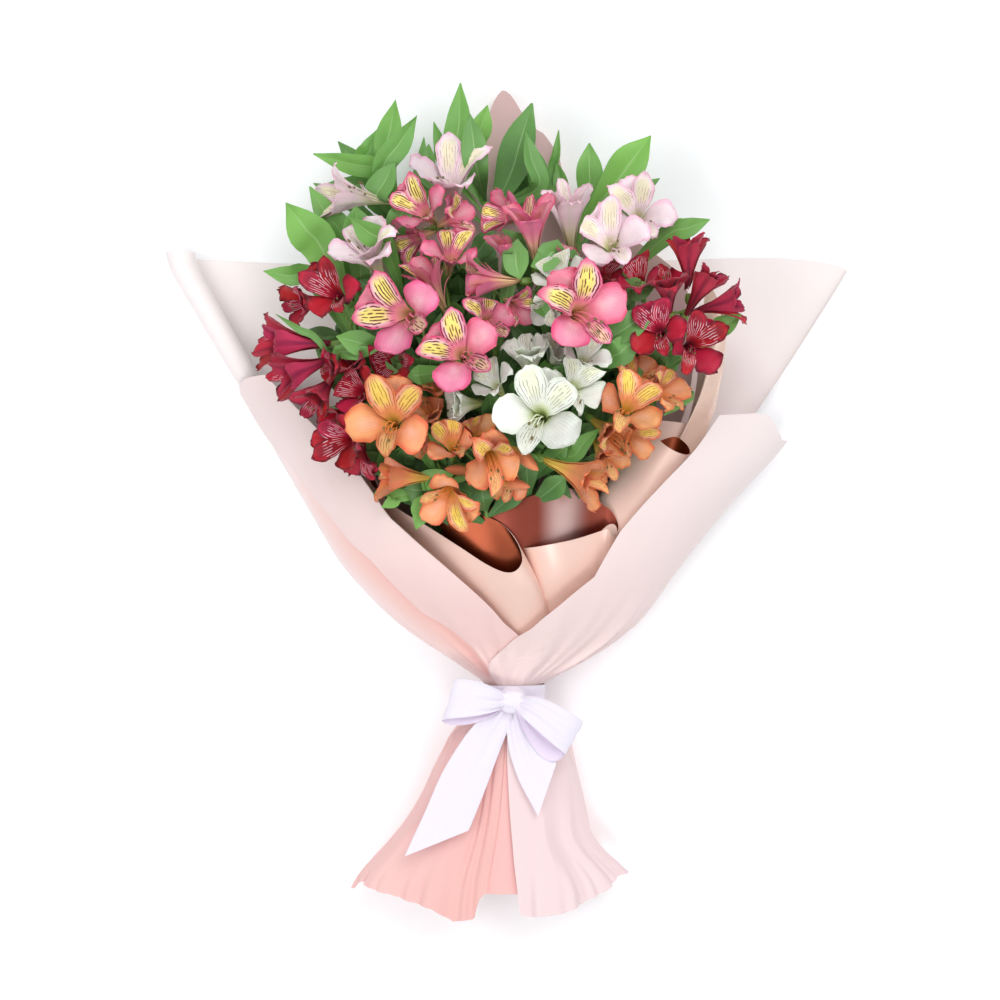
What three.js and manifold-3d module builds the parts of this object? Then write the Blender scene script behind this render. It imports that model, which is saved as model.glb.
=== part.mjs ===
// A hand-tied bouquet of cut alstroemerias, wrapped in copper paper and blush tissue and tied with a satin
// ribbon, lying on its back. Millimetres: +X to the right, +Y from the cut ends to the heads, +Z up from the
// surface that it lies on. The origin is on that surface, under the middle of the bouquet.
import * as THREE from "three";
import { mergeVertices } from "three/addons/utils/BufferGeometryUtils.js";
import Module from "manifold-3d";

const wasm = await Module();
wasm.setup();

// Driving dimensions
const TIE = new THREE.Vector3(10, -158, 36); // middle of the wraps where the ribbon holds them
const BUNDLE_DROP = 6.2; // how far below that the stems lie, on the back of the wraps
const STEM_RADIUS = 2.1;
const STEM_PITCH = 4.6; // between neighbouring stems at the tie
const CUT_LENGTH = 126; // from the tie down to the cut ends
const CUT_SPREAD = 1.15; // how far the stems open out again below the tie
const CUT_DROP = 4; // how far the bundle sinks towards the surface at the cut ends
const PEDICEL_RADIUS = 1.3;
const SEAT_GAP = 0.3; // between pieces that touch
const BLADE = 0.8; // thickness of a tepal or leaf
const PAPER = 0.8; // thickness of paper, tissue and ribbon
const LAYER = 1.3; // from one layer of paper to the next at the tie
const LOOSENING = 0.03; // how much further apart the layers are, for each millimetre that a section is wider
const BLOOM_SIZE = 60; // nominal width of an open flower, which the tepal shapes are drawn at
const MOUTH = 30; // height of a flower's mouth above its base at that size
const SMALLEST_EDGE = 0.02; // what a join leaves smaller than this is merged away

const v3 = (x, y, z) => new THREE.Vector3(x, y, z);
const radians = THREE.MathUtils.degToRad;
const { lerp, clamp } = THREE.MathUtils;

const COLOURS = {
  blush: "#f3d6e2", pink: "#e5799c", crimson: "#a91d3a", white: "#eef0e6", apricot: "#ec9a6c",
  leaf: "#5f9e4e", copper: "#d99a80", tissue: "#f3cfca", ribbon: "#f5f0f8",
};

// ---------------------------------------------------------------- solids

/** A three.js geometry as a manifold-3d solid. */
function solidOf(geometry) {
  const bare = new THREE.BufferGeometry()
    .setAttribute("position", geometry.getAttribute("position")).setIndex(geometry.index);
  const merged = mergeVertices(bare, 1e-4);
  return new wasm.Manifold(new wasm.Mesh({
    numProp: 3,
    vertProperties: merged.attributes.position.array,
    triVerts: new Uint32Array(merged.index.array),
  }));
}

/** A manifold-3d solid as a three.js geometry. */
function geometryOf(solid) {
  const { vertProperties, triVerts } = solid.getMesh();
  const geometry = new THREE.BufferGeometry()
    .setAttribute("position", new THREE.BufferAttribute(vertProperties, 3))
    .setIndex(new THREE.BufferAttribute(triVerts, 1));
  geometry.computeVertexNormals();
  return geometry;
}

/** The largest body of a solid, without the scraps that a cut leaves loose. */
function largestBody(solid) {
  const bodies = solid.decompose();
  return bodies.reduce((best, body) => (body.volume() > best.volume() ? body : best), bodies[0]);
}

/** Several geometries joined into one body. */
function joined(geometries) {
  return largestBody(wasm.Manifold.union(geometries.map(solidOf))).simplify(SMALLEST_EDGE);
}

/** A geometry from a list of points and the faces between them. */
function meshOf(points, faces) {
  return new THREE.BufferGeometry()
    .setAttribute("position", new THREE.Float32BufferAttribute(points.flatMap((p) => p.toArray()), 3))
    .setIndex(faces);
}

/** The two faces of a sheet round rows of points on its middle surface, as [outer, inner] rows of points. */
function facesOf(rows, thickness, ring = false) {
  const nCols = rows[0].length;
  const column = (i) => (ring ? (i + nCols) % nCols : clamp(i, 0, nCols - 1));
  const row = (j) => clamp(j, 0, rows.length - 1);
  return [0.5, -0.5].map((side) => rows.map((points, j) => points.map((p, i) => {
    const onward = rows[row(j + 1)][i].clone().sub(rows[row(j - 1)][i]);
    const across = points[column(i + 1)].clone().sub(points[column(i - 1)]);
    return p.clone().addScaledVector(across.cross(onward).normalize(), side * thickness);
  })));
}

/** A closed sheet round rows of points on its middle surface. A ring's last column joins its first. */
function sheet(rows, thickness, ring = false) {
  const nRows = rows.length;
  const nCols = rows[0].length;
  const at = (side, j, i) => side * nRows * nCols + j * nCols + (i % nCols);
  const faces = [];
  const quad = (a, b, c, d) => faces.push(a, b, c, a, c, d);
  const lastCol = ring ? nCols : nCols - 1;
  for (let j = 0; j < nRows - 1; j += 1) {
    for (let i = 0; i < lastCol; i += 1) {
      // both faces are split along the same diagonal, so that a waved sheet keeps its thickness
      quad(at(0, j, i), at(0, j, i + 1), at(0, j + 1, i + 1), at(0, j + 1, i));
      faces.push(at(1, j, i), at(1, j + 1, i + 1), at(1, j, i + 1));
      faces.push(at(1, j, i), at(1, j + 1, i), at(1, j + 1, i + 1));
    }
  }
  for (let i = 0; i < lastCol; i += 1) {
    quad(at(1, 0, i), at(1, 0, i + 1), at(0, 0, i + 1), at(0, 0, i));
    quad(at(0, nRows - 1, i), at(0, nRows - 1, i + 1), at(1, nRows - 1, i + 1), at(1, nRows - 1, i));
  }
  for (let j = 0; !ring && j < nRows - 1; j += 1) {
    quad(at(0, j, 0), at(0, j + 1, 0), at(1, j + 1, 0), at(1, j, 0));
    quad(at(1, j, nCols - 1), at(1, j + 1, nCols - 1), at(0, j + 1, nCols - 1), at(0, j, nCols - 1));
  }
  return meshOf(facesOf(rows, thickness, ring).flat(2), faces);
}

/** A rod with flat ends and straight stretches between the points of its middle line. */
function rod(points, radius, sides) {
  const rows = points.map((p, j) => {
    const along = points[Math.min(j + 1, points.length - 1)].clone().sub(points[Math.max(j - 1, 0)]).normalize();
    const level = along.clone().cross(v3(0, 0, 1)).normalize();
    return Array.from({ length: sides }, (_, k) => p.clone()
      .addScaledVector(level.clone().applyAxisAngle(along, (2 * Math.PI * k) / sides), radius));
  });
  const faces = [];
  for (let j = 0; j < rows.length - 1; j += 1) {
    for (let k = 0; k < sides; k += 1) {
      const [a, b] = [j * sides + k, j * sides + ((k + 1) % sides)];
      faces.push(a, b, b + sides, a, b + sides, a + sides);
    }
  }
  const last = (rows.length - 1) * sides;
  for (let k = 1; k < sides - 1; k += 1) faces.push(0, k + 1, k, last, last + k, last + k + 1);
  return meshOf(rows.flat(), faces);
}

/** A tapered piece between two points. */
function taper(from, to, startRadius, endRadius, sides) {
  const along = to.clone().sub(from);
  const geometry = new THREE.CylinderGeometry(endRadius, startRadius, along.length(), sides)
    .applyQuaternion(new THREE.Quaternion().setFromUnitVectors(v3(0, 1, 0), along.normalize()));
  return geometry.translate(...from.clone().lerp(to, 0.5).toArray());
}

/** The values at t, from 0 to 1, on a smooth curve through the knots, which are arrays of numbers. */
function smooth(knots, t) {
  const last = knots.length - 1;
  const place = clamp(t, 0, 1) * last;
  const k = Math.min(Math.floor(place), last - 1);
  const f = place - k;
  const at = (i, c) => {
    if (i < 0) return 2 * knots[0][c] - knots[1][c];
    return i > last ? 2 * knots[last][c] - knots[last - 1][c] : knots[i][c];
  };
  return knots[0].map((_, c) => {
    const [p0, p1, p2, p3] = [-1, 0, 1, 2].map((step) => at(k + step, c));
    const bend = 2 * p0 - 5 * p1 + 4 * p2 - p3;
    return 0.5 * (2 * p1 + (p2 - p0) * f + bend * f * f + (3 * p1 - p0 - 3 * p2 + p3) * f ** 3);
  });
}

/** The values at a station in a table whose rows start with their station, in rising order. */
function between(table, station) {
  const k = clamp(table.findIndex((row) => row[0] > station), 1, table.length - 1);
  const next = table.findIndex((row) => row[0] > station) < 0 ? table.length - 1 : k;
  const [a, b] = [table[next - 1], table[next]];
  const f = clamp((station - a[0]) / (b[0] - a[0]), 0, 1);
  return a.slice(1).map((value, c) => lerp(value, b[c + 1], f));
}

// ---------------------------------------------------------------- flowers

// Half of each tepal's outline at the nominal size, from root to tip: [out from the axis, up the axis, half width]
const OUTER_TEPAL = [[2.6, 3, 1.5], [7.5, 18, 3.8], [18, 32.5, 12], [31, 36, 5]];
const UPPER_TEPAL = [[2.6, 3, 1.5], [10.5, 33, 5.4], [24, 43, 1.6]];
const LOWER_TEPAL = [[2.6, 3, 1.5], [12, 31, 5.2], [26, 35, 1.6]];
const BUD_RINGS = [[3.2, 4], [6.0, 13], [6.4, 22], [4.4, 31], [1.0, 37]]; // [radius, up the axis]
// Each form: [spread of the tepals, stretch along the axis, width of the tepals]
const FORMS = { open: [1, 1, 1], cup: [0.78, 1.06, 0.95], funnel: [0.56, 1.18, 0.86] };
// The six tepals in turn round the axis, broad outer ones between narrow inner ones
const TEPALS = [OUTER_TEPAL, UPPER_TEPAL, OUTER_TEPAL, LOWER_TEPAL, OUTER_TEPAL, UPPER_TEPAL];
const CLAW = 0.4; // greatest half width of a claw, as a share of its distance from the axis, so that claws part
const CUPPING = 0.16; // how far a tepal's edges rise, as a share of its half width
const NECK = { radius: 3, inner: 2.2, height: 3 }; // where the tepals join
const INNER_CLEARANCE = 1.9; // of the inner tepals from the outer ones, where neighbours press them back

/** The height of the flower faces over a point of the surface. */
const faceHeight = (x, y) => 158 - 0.0019 * (y - 90) ** 2 - 0.0014 * (x - 10) ** 2;

// Each head: its colour, and its flowers as [x, y, depth under the face, tilt from upright, heading of the tilt,
// size, turn about its axis, form].
const HEADS = {
  pale_left: { colour: "blush", flowers: [
    [-120, 245, 2, 72, 163, 62, 20, "funnel"], [-106, 192, -2, 48, 105, 64, 180, "cup"]] },
  pale_top: { colour: "blush", flowers: [
    [-44, 262, -2, 50, 105, 68, 40, "cup"]] },
  pale_right: { colour: "blush", flowers: [
    [50, 232, 10, 62, 95, 62, 0, "funnel"], [84, 204, -10, 14, 250, 76, 170, "open"],
    [116, 226, 8, 26, 30, 68, 60, "open"]] },
  pink_top_left: { colour: "pink", flowers: [
    [-62, 231, -2, 40, 150, 58, 70, "cup"], [-58, 204, 18, 50, 205, 48, 120, "cup"],
    [-34, 198, 10, 40, 75, 54, 10, "cup"], [-50, 172, 4, 58, 125, 60, 200, "funnel"]] },
  pink_left: { colour: "pink", flowers: [
    [-77, 144, -14, 12, 200, 78, 205, "open"]] },
  pink_centre: { colour: "pink", flowers: [
    [-28, 116, -13, 16, 250, 74, 80, "open"], [-4, 140, 10, 24, 40, 58, 20, "open"],
    [-10, 169, 4, 64, 182, 60, 30, "funnel"]] },
  pink_top_right: { colour: "pink", flowers: [
    [33, 216, -2, 66, 96, 68, 0, "funnel"], [8, 212, 16, 44, 115, 52, 60, "cup"],
    [4, 238, 14, 60, 120, 42, 0, "bud"]] },
  pink_right: { colour: "pink", flowers: [
    [64, 146, -14, 10, 330, 80, 60, "open"]] },
  red_top_left: { colour: "crimson", flowers: [
    [-132, 163, -2, 26, 200, 66, 90, "cup"], [-158, 156, 16, 62, 180, 46, 0, "cup"]] },
  red_left: { colour: "crimson", flowers: [
    [-172, 122, 0, 80, 172, 68, 0, "funnel"], [-148, 98, -4, 70, 200, 64, 30, "funnel"],
    [-144, 76, 14, 66, 240, 52, 90, "cup"]] },
  red_low_left: { colour: "crimson", flowers: [
    [-120, 46, 8, 40, 215, 56, 120, "cup"], [-116, 92, 14, 34, 30, 52, 40, "cup"],
    [-92, 108, 30, 24, 60, 46, 0, "cup"]] },
  red_top_right: { colour: "crimson", flowers: [
    [84, 176, 28, 45, 120, 44, 0, "cup"], [112, 172, 6, 36, 110, 56, 30, "cup"],
    [140, 156, 16, 50, 80, 46, 170, "cup"], [152, 192, 0, 76, 95, 62, 60, "funnel"]] },
  red_right: { colour: "crimson", flowers: [
    [176, 156, 0, 72, 35, 64, 20, "funnel"], [122, 134, -6, 20, 180, 62, 200, "cup"],
    [154, 122, -4, 24, 330, 66, 150, "open"]] },
  white_front: { colour: "white", flowers: [
    [32, 76, -14, 12, 270, 82, 40, "open"], [70, 97, 2, 34, 25, 66, 30, "open"],
    [24, 112, 20, 62, 100, 52, 0, "cup"], [-18, 84, 14, 50, 170, 56, 90, "cup"]] },
  white_back: { colour: "white", flowers: [
    [40, 178, 12, 40, 120, 60, 30, "cup"]] },
  orange_left: { colour: "apricot", flowers: [
    [-86, 58, -14, 15, 250, 80, 0, "open"], [-58, 74, 24, 30, 60, 46, 60, "cup"],
    [-82, 16, 8, 76, 200, 54, 30, "funnel"]] },
  orange_mid: { colour: "apricot", flowers: [
    [-42, 44, 6, 25, 90, 54, 30, "cup"], [-4, 28, -4, 30, 300, 64, 90, "cup"],
    [-38, 2, 0, 35, 260, 60, 0, "cup"], [22, 34, 6, 60, 320, 46, 0, "bud"],
    [18, 2, 8, 62, 250, 46, 0, "bud"], [-52, 24, 18, 60, 180, 38, 0, "bud"]] },
  orange_right: { colour: "apricot", flowers: [
    [62, 24, -2, 56, 315, 70, 20, "funnel"], [98, 78, -4, 20, 40, 66, 60, "open"],
    [126, 82, 10, 50, 20, 52, 0, "cup"], [88, 46, 8, 40, 320, 58, 90, "cup"]] },
};

/** Where a flower of the list above sits: its base, its axis, its scale and its reach. */
function placed([x, y, depth, tilt, heading, size, turn, form]) {
  const scale = size / BLOOM_SIZE;
  const axis = v3(0, 0, 1)
    .applyAxisAngle(v3(0, 1, 0), radians(tilt)).applyAxisAngle(v3(0, 0, 1), radians(heading));
  const mouth = v3(x, y, faceHeight(x, y) - depth);
  const base = mouth.clone().addScaledVector(axis, -MOUTH * scale);
  const middle = mouth.clone().addScaledVector(axis, -6 * scale);
  return { base, axis, middle, scale, turn, form, reach: (form === "bud" ? 0.3 : 0.5) * size };
}

const CELL_GAP = 1.5; // between the cells of two flowers
const CELL_GIVE = 0.3; // the outer share of a cell, over which a tepal bends back

for (const head of Object.values(HEADS)) head.placed = head.flowers.map(placed);
const ALL_FLOWERS = Object.values(HEADS).flatMap((head) => head.placed);
for (const flower of ALL_FLOWERS) {
  flower.walls = ALL_FLOWERS.filter((other) => other !== flower).map((other) => {
    const normal = other.middle.clone().sub(flower.middle);
    const room = (normal.length() * flower.reach) / (flower.reach + other.reach) - CELL_GAP / 2;
    return { normal: normal.normalize(), room };
  }).filter((wall) => wall.room < 1.5 * flower.reach);
}

/** Bends a point of a flower back from its neighbours, so that each keeps to a cell of its own. */
function keptClear(point, flower, clearance = 0) {
  const from = point.clone().sub(flower.middle);
  for (let pass = 0; pass < 8; pass += 1) {
    for (const { normal, room } of flower.walls) {
      const limit = room - BLADE / 2 - clearance;
      const give = CELL_GIVE * room;
      const past = from.dot(normal) - (limit - give);
      const kept = pass ? limit : limit - give * Math.exp(-Math.max(past, 0) / give);
      const shift = kept - (past + limit - give);
      if (shift < 0) from.addScaledVector(normal, shift);
    }
  }
  return from.add(flower.middle);
}

/** The unit vectors out of a flower's axis and along a tepal's edge, at an angle round it. */
function spokes(axis, angle) {
  const side = v3(0, 0, 1).cross(axis);
  if (side.lengthSq() < 1e-6) side.set(0, 1, 0);
  const out = side.normalize().applyAxisAngle(axis, radians(angle));
  return { out, edge: axis.clone().cross(out) };
}

/** The rows of points, past its root, on one tepal's middle surface, with its edges out by grow. */
function tepalPoints(flower, k, nCols, grow = 0) {
  const outline = TEPALS[k];
  const [spread, stretch, width] = FORMS[flower.form];
  const { out, edge } = spokes(flower.axis, flower.turn + 60 * k);
  const clearance = outline === OUTER_TEPAL ? 0 : INNER_CLEARANCE;
  return outline.slice(1).map(([r, h, w], j) => {
    const radius = outline[0][0] + spread * (r - outline[0][0]);
    const half = (j ? width * w : Math.min(width * w, CLAW * radius)) + grow;
    return Array.from({ length: nCols }, (__, i) => {
      const u = (2 * i) / (nCols - 1) - 1;
      const lift = CUPPING * w * u * u;
      const point = flower.base.clone()
        .addScaledVector(out, flower.scale * (radius - lift * 0.6))
        .addScaledVector(edge, flower.scale * half * u)
        .addScaledVector(flower.axis, flower.scale * (stretch * h + lift));
      return keptClear(point, flower, clearance);
    });
  });
}

/** One flower in one body: a pedicel from the hub, a neck, and six tepals that part at the neck. */
function flowerGeometry(flower, hub, grow) {
  const points = [];
  const faces = [];
  const add = (p) => points.push(p) - 1;
  const quad = (a, b, c, d) => faces.push(a, b, c, a, c, d);
  const ring = (centre, axis, radius) => {
    const swing = new THREE.Quaternion().setFromUnitVectors(flower.axis, axis);
    return Array.from({ length: 6 }, (_, k) => {
      const { out } = spokes(flower.axis, flower.turn + 60 * k + 30);
      return add(centre.clone().addScaledVector(out.applyQuaternion(swing), radius + grow));
    });
  };
  const up = (height) => flower.base.clone().addScaledVector(flower.axis, height * flower.scale);
  const cap = (corners, flip) => {
    for (let k = 1; k < 5; k += 1) {
      faces.push(...(flip ? [corners[0], corners[k + 1], corners[k]] : [corners[0], corners[k], corners[k + 1]]));
    }
  };
  const band = (low, high) => low.forEach((_, k) => {
    const n = (k + 1) % 6;
    quad(low[k], low[n], high[n], high[k]);
  });
  const along = flower.base.clone().sub(hub).normalize();
  const foot = ring(hub, along, PEDICEL_RADIUS);
  const top = ring(flower.base, along.clone().add(flower.axis).normalize(), PEDICEL_RADIUS);
  cap(foot, true);
  band(foot, top);
  if (flower.form === "bud") {
    let low = top;
    for (const [radius, height] of BUD_RINGS) {
      const high = ring(up(height), flower.axis, radius * flower.scale);
      band(low, high);
      low = high;
    }
    cap(low, false);
    return meshOf(points, faces);
  }
  const outer = ring(up(NECK.height), flower.axis, NECK.radius * flower.scale);
  const inner = ring(up(NECK.height + 0.8), flower.axis, NECK.inner * flower.scale - 2 * grow);
  band(top, outer);
  cap(inner, false);
  TEPALS.forEach((outline, k) => {
    const nRows = outline.length;
    const sides = facesOf(tepalPoints(flower, k, 2, grow), BLADE + 2 * grow)
      .map((rows) => rows.map((row) => row.map(add)));
    const before = (k + 5) % 6; // the corner of the neck before this tepal; the one after it is k
    const back = [[outer[before], outer[k]], ...sides[0]];
    const front = [[inner[before], inner[k]], ...sides[1]];
    for (let j = 0; j < nRows - 1; j += 1) {
      quad(back[j][0], back[j][1], back[j + 1][1], back[j + 1][0]);
      faces.push(front[j][0], front[j + 1][1], front[j][1], front[j][0], front[j + 1][0], front[j + 1][1]);
      quad(back[j][0], back[j + 1][0], front[j + 1][0], front[j][0]);
      quad(back[j][1], front[j][1], front[j + 1][1], back[j + 1][1]);
    }
    const [tipBack, tipFront] = [back[nRows - 1], front[nRows - 1]];
    quad(tipBack[0], tipBack[1], tipFront[1], tipFront[0]);
  });
  return meshOf(points, faces);
}

/** The hub of a head, where its pedicels spring from the top of the stem. */
function hubOf(head) {
  const middle = v3(0, 0, 0);
  head.placed.forEach((flower) => middle.addScaledVector(flower.base, 1 / head.placed.length));
  return middle.lerp(TIE, 0.09).add(v3(0, 0, -6));
}

const HUB = { length: 4, foot: 2.2, top: 3.4 };

/** One head in one body: its hub, its pedicels and its flowers, all fatter by grow. */
function headSolid(head, grow = 0) {
  const foot = head.hub.clone().addScaledVector(head.line, -HUB.length - grow);
  const crown = taper(foot, head.hub.clone().addScaledVector(head.line, grow),
    HUB.foot + grow, HUB.top + grow, 6);
  return joined([crown, ...head.placed.map((flower) => flowerGeometry(flower, head.hub, grow))]);
}

// ---------------------------------------------------------------- stems and leaves

// The leafy shoots that carry no flowers: where each ends
const SHOOTS = {
  leafy_left: { top: v3(-84, 226, 52) },
  leafy_centre: { top: v3(-12, 244, 46) },
  leafy_right: { top: v3(66, 226, 50) },
};

// The leaves of each stem, as [how far down the stem, the point that the blade bends at, its tip, width]
const LEAVES = {
  leafy_left: [
    [6, [-90, 262, 62], [-150, 278, 66], 20], [14, [-104, 248, 50], [-146, 250, 44], 16],
    [10, [-92, 272, 56], [-84, 322, 64], 22], [2, [-92, 256, 74], [-66, 302, 84], 20],
    [20, [-106, 262, 40], [-132, 290, 40], 16], [24, [-66, 240, 40], [-62, 290, 36], 14]],
  leafy_centre: [
    [6, [-32, 276, 50], [-32, 338, 52], 22], [14, [-44, 272, 40], [-54, 308, 40], 10],
    [10, [-20, 284, 60], [-12, 318, 66], 18], [2, [-20, 262, 76], [-22, 304, 86], 20],
    [18, [6, 260, 50], [24, 320, 58], 28], [26, [16, 246, 36], [10, 286, 34], 16]],
  leafy_right: [
    [6, [72, 250, 56], [72, 286, 62], 22], [2, [90, 254, 62], [120, 290, 70], 32],
    [14, [40, 250, 46], [24, 290, 48], 18], [20, [44, 262, 36], [48, 302, 36], 8],
    [24, [92, 238, 40], [130, 262, 40], 18]],
  red_top_left: [
    [6, [-140, 190, 84], [-172, 236, 92], 32], [14, [-120, 200, 74], [-152, 250, 78], 20],
    [20, [-150, 176, 66], [-190, 184, 70], 16]],
  pale_left: [[10, [-98, 196, 88], [-120, 226, 106], 16]],
  pale_right: [[8, [126, 208, 92], [168, 224, 102], 18], [14, [92, 214, 66], [112, 256, 70], 14]],
  red_right: [[8, [158, 132, 88], [196, 150, 98], 16], [20, [134, 78, 88], [150, 58, 98], 9]],
  red_low_left: [[8, [-124, 50, 90], [-156, 42, 98], 14], [14, [-108, 34, 90], [-124, 6, 106], 13]],
  orange_mid: [[8, [-36, -8, 112], [-60, -26, 124], 14], [14, [-4, -20, 112], [4, -40, 128], 10]],
  orange_right: [[8, [84, 22, 112], [100, 0, 124], 14]],
  orange_left: [[8, [-80, 12, 104], [-104, -4, 114], 14]],
};

const BUNDLE_ROWS = [4, 5, 4, 5, 3]; // stems in each row at the tie, from the back to the front
const ROW_PITCH = 0.9; // between rows, as a share of the pitch within a row
const BUNDLE = TIE.clone().add(v3(0, 0, -BUNDLE_DROP));

/** Puts every stem in the bundle, low heads at the back and left heads on the left, so that no two cross. */
function bundled(tops) {
  const rising = [...tops].sort((a, b) => slope(a[1]) - slope(b[1]));
  const seats = {};
  BUNDLE_ROWS.forEach((count, row) => {
    const members = rising.splice(0, count).sort((a, b) => swing(a[1]) - swing(b[1]));
    members.forEach(([name], i) => {
      const across = (i - (members.length - 1) / 2) * STEM_PITCH;
      const up = (row - (BUNDLE_ROWS.length - 1) / 2) * STEM_PITCH * ROW_PITCH;
      seats[name] = BUNDLE.clone().add(v3(across, 0, up));
    });
  });
  return seats;
}
const slope = (top) => (top.z - TIE.z) / (top.y - TIE.y);
const swing = (top) => (top.x - TIE.x) / (top.y - TIE.y);

for (const head of Object.values(HEADS)) head.hub = hubOf(head);
const tops = [
  ...Object.entries(HEADS).map(([name, head]) => [name, head.hub]),
  ...Object.entries(SHOOTS).map(([name, shoot]) => [name, shoot.top]),
];
const SEATS = bundled(tops);
for (const [name, head] of Object.entries(HEADS)) head.line = head.hub.clone().sub(SEATS[name]).normalize();
const stemTops = [
  ...Object.entries(HEADS).map(([name, head]) => [
    name, head.hub.clone().addScaledVector(head.line, -HUB.length - SEAT_GAP)]),
  ...Object.entries(SHOOTS).map(([name, shoot]) => [name, shoot.top]),
];

const STRAIGHT = 16; // how far above and below the tie the stems start to open out
const LEAF_SHAPE = [[0, 0.12], [0.42, 0.42], [0.72, 0.5], [1, 0.06]]; // [along, half width as a share of the width]

/** The points of a leaf's middle surface, from its root on the stem through its bend to its tip. */
function leafPoints(root, bend, tip, width, nCols) {
  const path = new THREE.CatmullRomCurve3([root, bend, bend.clone().lerp(tip, 0.5).add(v3(0, 0, 3)), tip]);
  return LEAF_SHAPE.map(([t, half]) => {
    const centre = path.getPoint(t);
    const across = path.getTangent(t).cross(v3(0, 0, 1)).normalize();
    return Array.from({ length: nCols }, (_, i) => {
      const u = (2 * i) / (nCols - 1) - 1;
      return centre.clone().addScaledVector(across, u * half * width);
    });
  });
}

/** One stem in one body, with its leaves, from its cut end to its top, all fatter by grow. */
function stemSolid(name, top, grow = 0) {
  const seat = SEATS[name];
  const line = top.clone().sub(seat).normalize();
  const cut = seat.clone().sub(BUNDLE).multiplyScalar(CUT_SPREAD).add(BUNDLE).add(v3(0, -CUT_LENGTH, -CUT_DROP));
  const below = seat.clone().lerp(cut, STRAIGHT / CUT_LENGTH);
  const above = seat.clone().addScaledVector(line, STRAIGHT);
  const pieces = [rod([cut, below, above, top], STEM_RADIUS + grow, 5)];
  for (const [down, bend, tip, width] of LEAVES[name] ?? []) {
    const root = top.clone().addScaledVector(line, -down);
    pieces.push(sheet(leafPoints(root, v3(...bend), v3(...tip), width + 2 * grow, 2), BLADE + 2 * grow));
  }
  return joined(pieces);
}

// ---------------------------------------------------------------- papers

// Sections of the tissue's outermost layer round the bundle: [y, centre height, left, right, above, below]
const WAIST = 25; // radius of the tissue's outermost layer under the ribbon
const TISSUE_SECTIONS = [
  [-345, 24, 126, 96, 42, 30], [-250, 28, 76, 68, 36, 32], [-186, 34, 32, 32, 30, 28],
  [-172, 36, WAIST, WAIST, WAIST, WAIST], [-149, 36, WAIST, WAIST, WAIST, WAIST],
  [-132, 35, 42, 52, 37, 31], [-112, 30, 70, 88, 52, 30],
  [-56, 24, 114, 142, 104, 30], [0, 20, 156, 188, 114, 26], [84, 20, 218, 230, 66, 26],
  [200, 14, 258, 268, 24, 20],
];
// Sections of the copper's outermost layer
const CORE = 21; // radius of the copper's outermost layer under the ribbon
const COPPER_SECTIONS = [
  [-180, 36, CORE, CORE, CORE, CORE], [-149, 36, CORE, CORE, CORE, CORE], [-132, 36, 31, 34, 27, 24],
  [-112, 34, 54, 64, 36, 28], [-56, 33, 92, 108, 78, 28], [0, 32, 120, 138, 88, 27],
  [84, 30, 150, 166, 88, 25], [200, 26, 170, 176, 60, 20], [340, 22, 170, 176, 50, 14],
];

/** The point at an angle round a section, from the right over the front, a number of layers in. */
function onSection(sections, y, angle, layer) {
  const [height, left, right, above, below] = between(sections, y);
  const [c, s] = [Math.cos(radians(angle)), Math.sin(radians(angle))];
  const inset = layer * (LAYER + LOOSENING * Math.max((left + right) / 2 - WAIST, 0));
  const z = height + s * ((s > 0 ? above : below) - inset);
  return v3(TIE.x + c * ((c > 0 ? right : left) - inset), y, Math.max(z, PAPER / 2 + inset));
}

const NECK_ROWS = [-172, TIE.y, -149, -132]; // rows of points that every paper has where the ribbon gathers it
const UPPER_ROWS = [0.25, 0.5, 0.75, 1];
const LOWER_ROWS = [1, 0.6, 0.2];
const TUCKED = [1]; // the copper stops a little below the tie
const ROLL_STEPS = 5;
const TIGHT_ROLL = 0.7; // radius of a rolled edge where the ribbon flattens it

/** The points of a side edge rolled in towards the bundle, from the last two points of a row. */
function rolledEdge(edge, before, radius, turn) {
  const along = edge.clone().sub(before).setY(0).normalize();
  const inwards = v3(TIE.x, edge.y, TIE.z).sub(edge).setY(0);
  inwards.addScaledVector(along, -inwards.dot(along)).normalize();
  return Array.from({ length: ROLL_STEPS }, (_, k) => {
    const angle = radians((turn * (k + 1)) / ROLL_STEPS);
    return edge.clone().addScaledVector(along, radius * Math.sin(angle))
      .addScaledVector(inwards, radius * (1 - Math.cos(angle)));
  });
}

/**
 * A wrap of paper: angles round the bundle at its two side edges, each a table over y, and the ends of the
 * sheet at the hem and at the lip, each a list across it. A side edge may roll in: [radius at the lip, turn].
 */
function wrapPoints({ sections, layer, from, to, hem, lip, below, above, cols, rollFrom, rollTo }) {
  const across = (list, f) => smooth(list.map((value) => [value]), f)[0];
  const columns = Array.from({ length: cols }, (_, i) => {
    const f = i / (cols - 1);
    const [bottom, top] = [across(hem, f), across(lip, f)];
    const stations = [
      ...below.map((t) => lerp(NECK_ROWS[0], bottom, t)), ...NECK_ROWS,
      ...above.map((t) => lerp(NECK_ROWS[NECK_ROWS.length - 1], top, t)),
    ];
    return stations.map((y) => onSection(sections, y, lerp(between(from, y)[0], between(to, y)[0], f), layer));
  });
  return columns[0].map((_, j) => {
    const row = columns.map((column) => column[j]);
    const opening = Math.max(j - below.length - NECK_ROWS.length + 1, 0) / above.length;
    const rolled = (roll, edge, before) => (roll
      ? rolledEdge(edge, before, lerp(TIGHT_ROLL, roll[0], opening ** 2.2), roll[1]) : []);
    return [
      ...rolled(rollFrom, row[0], row[1]).reverse(), ...row, ...rolled(rollTo, row[cols - 1], row[cols - 2]),
    ];
  });
}

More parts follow.
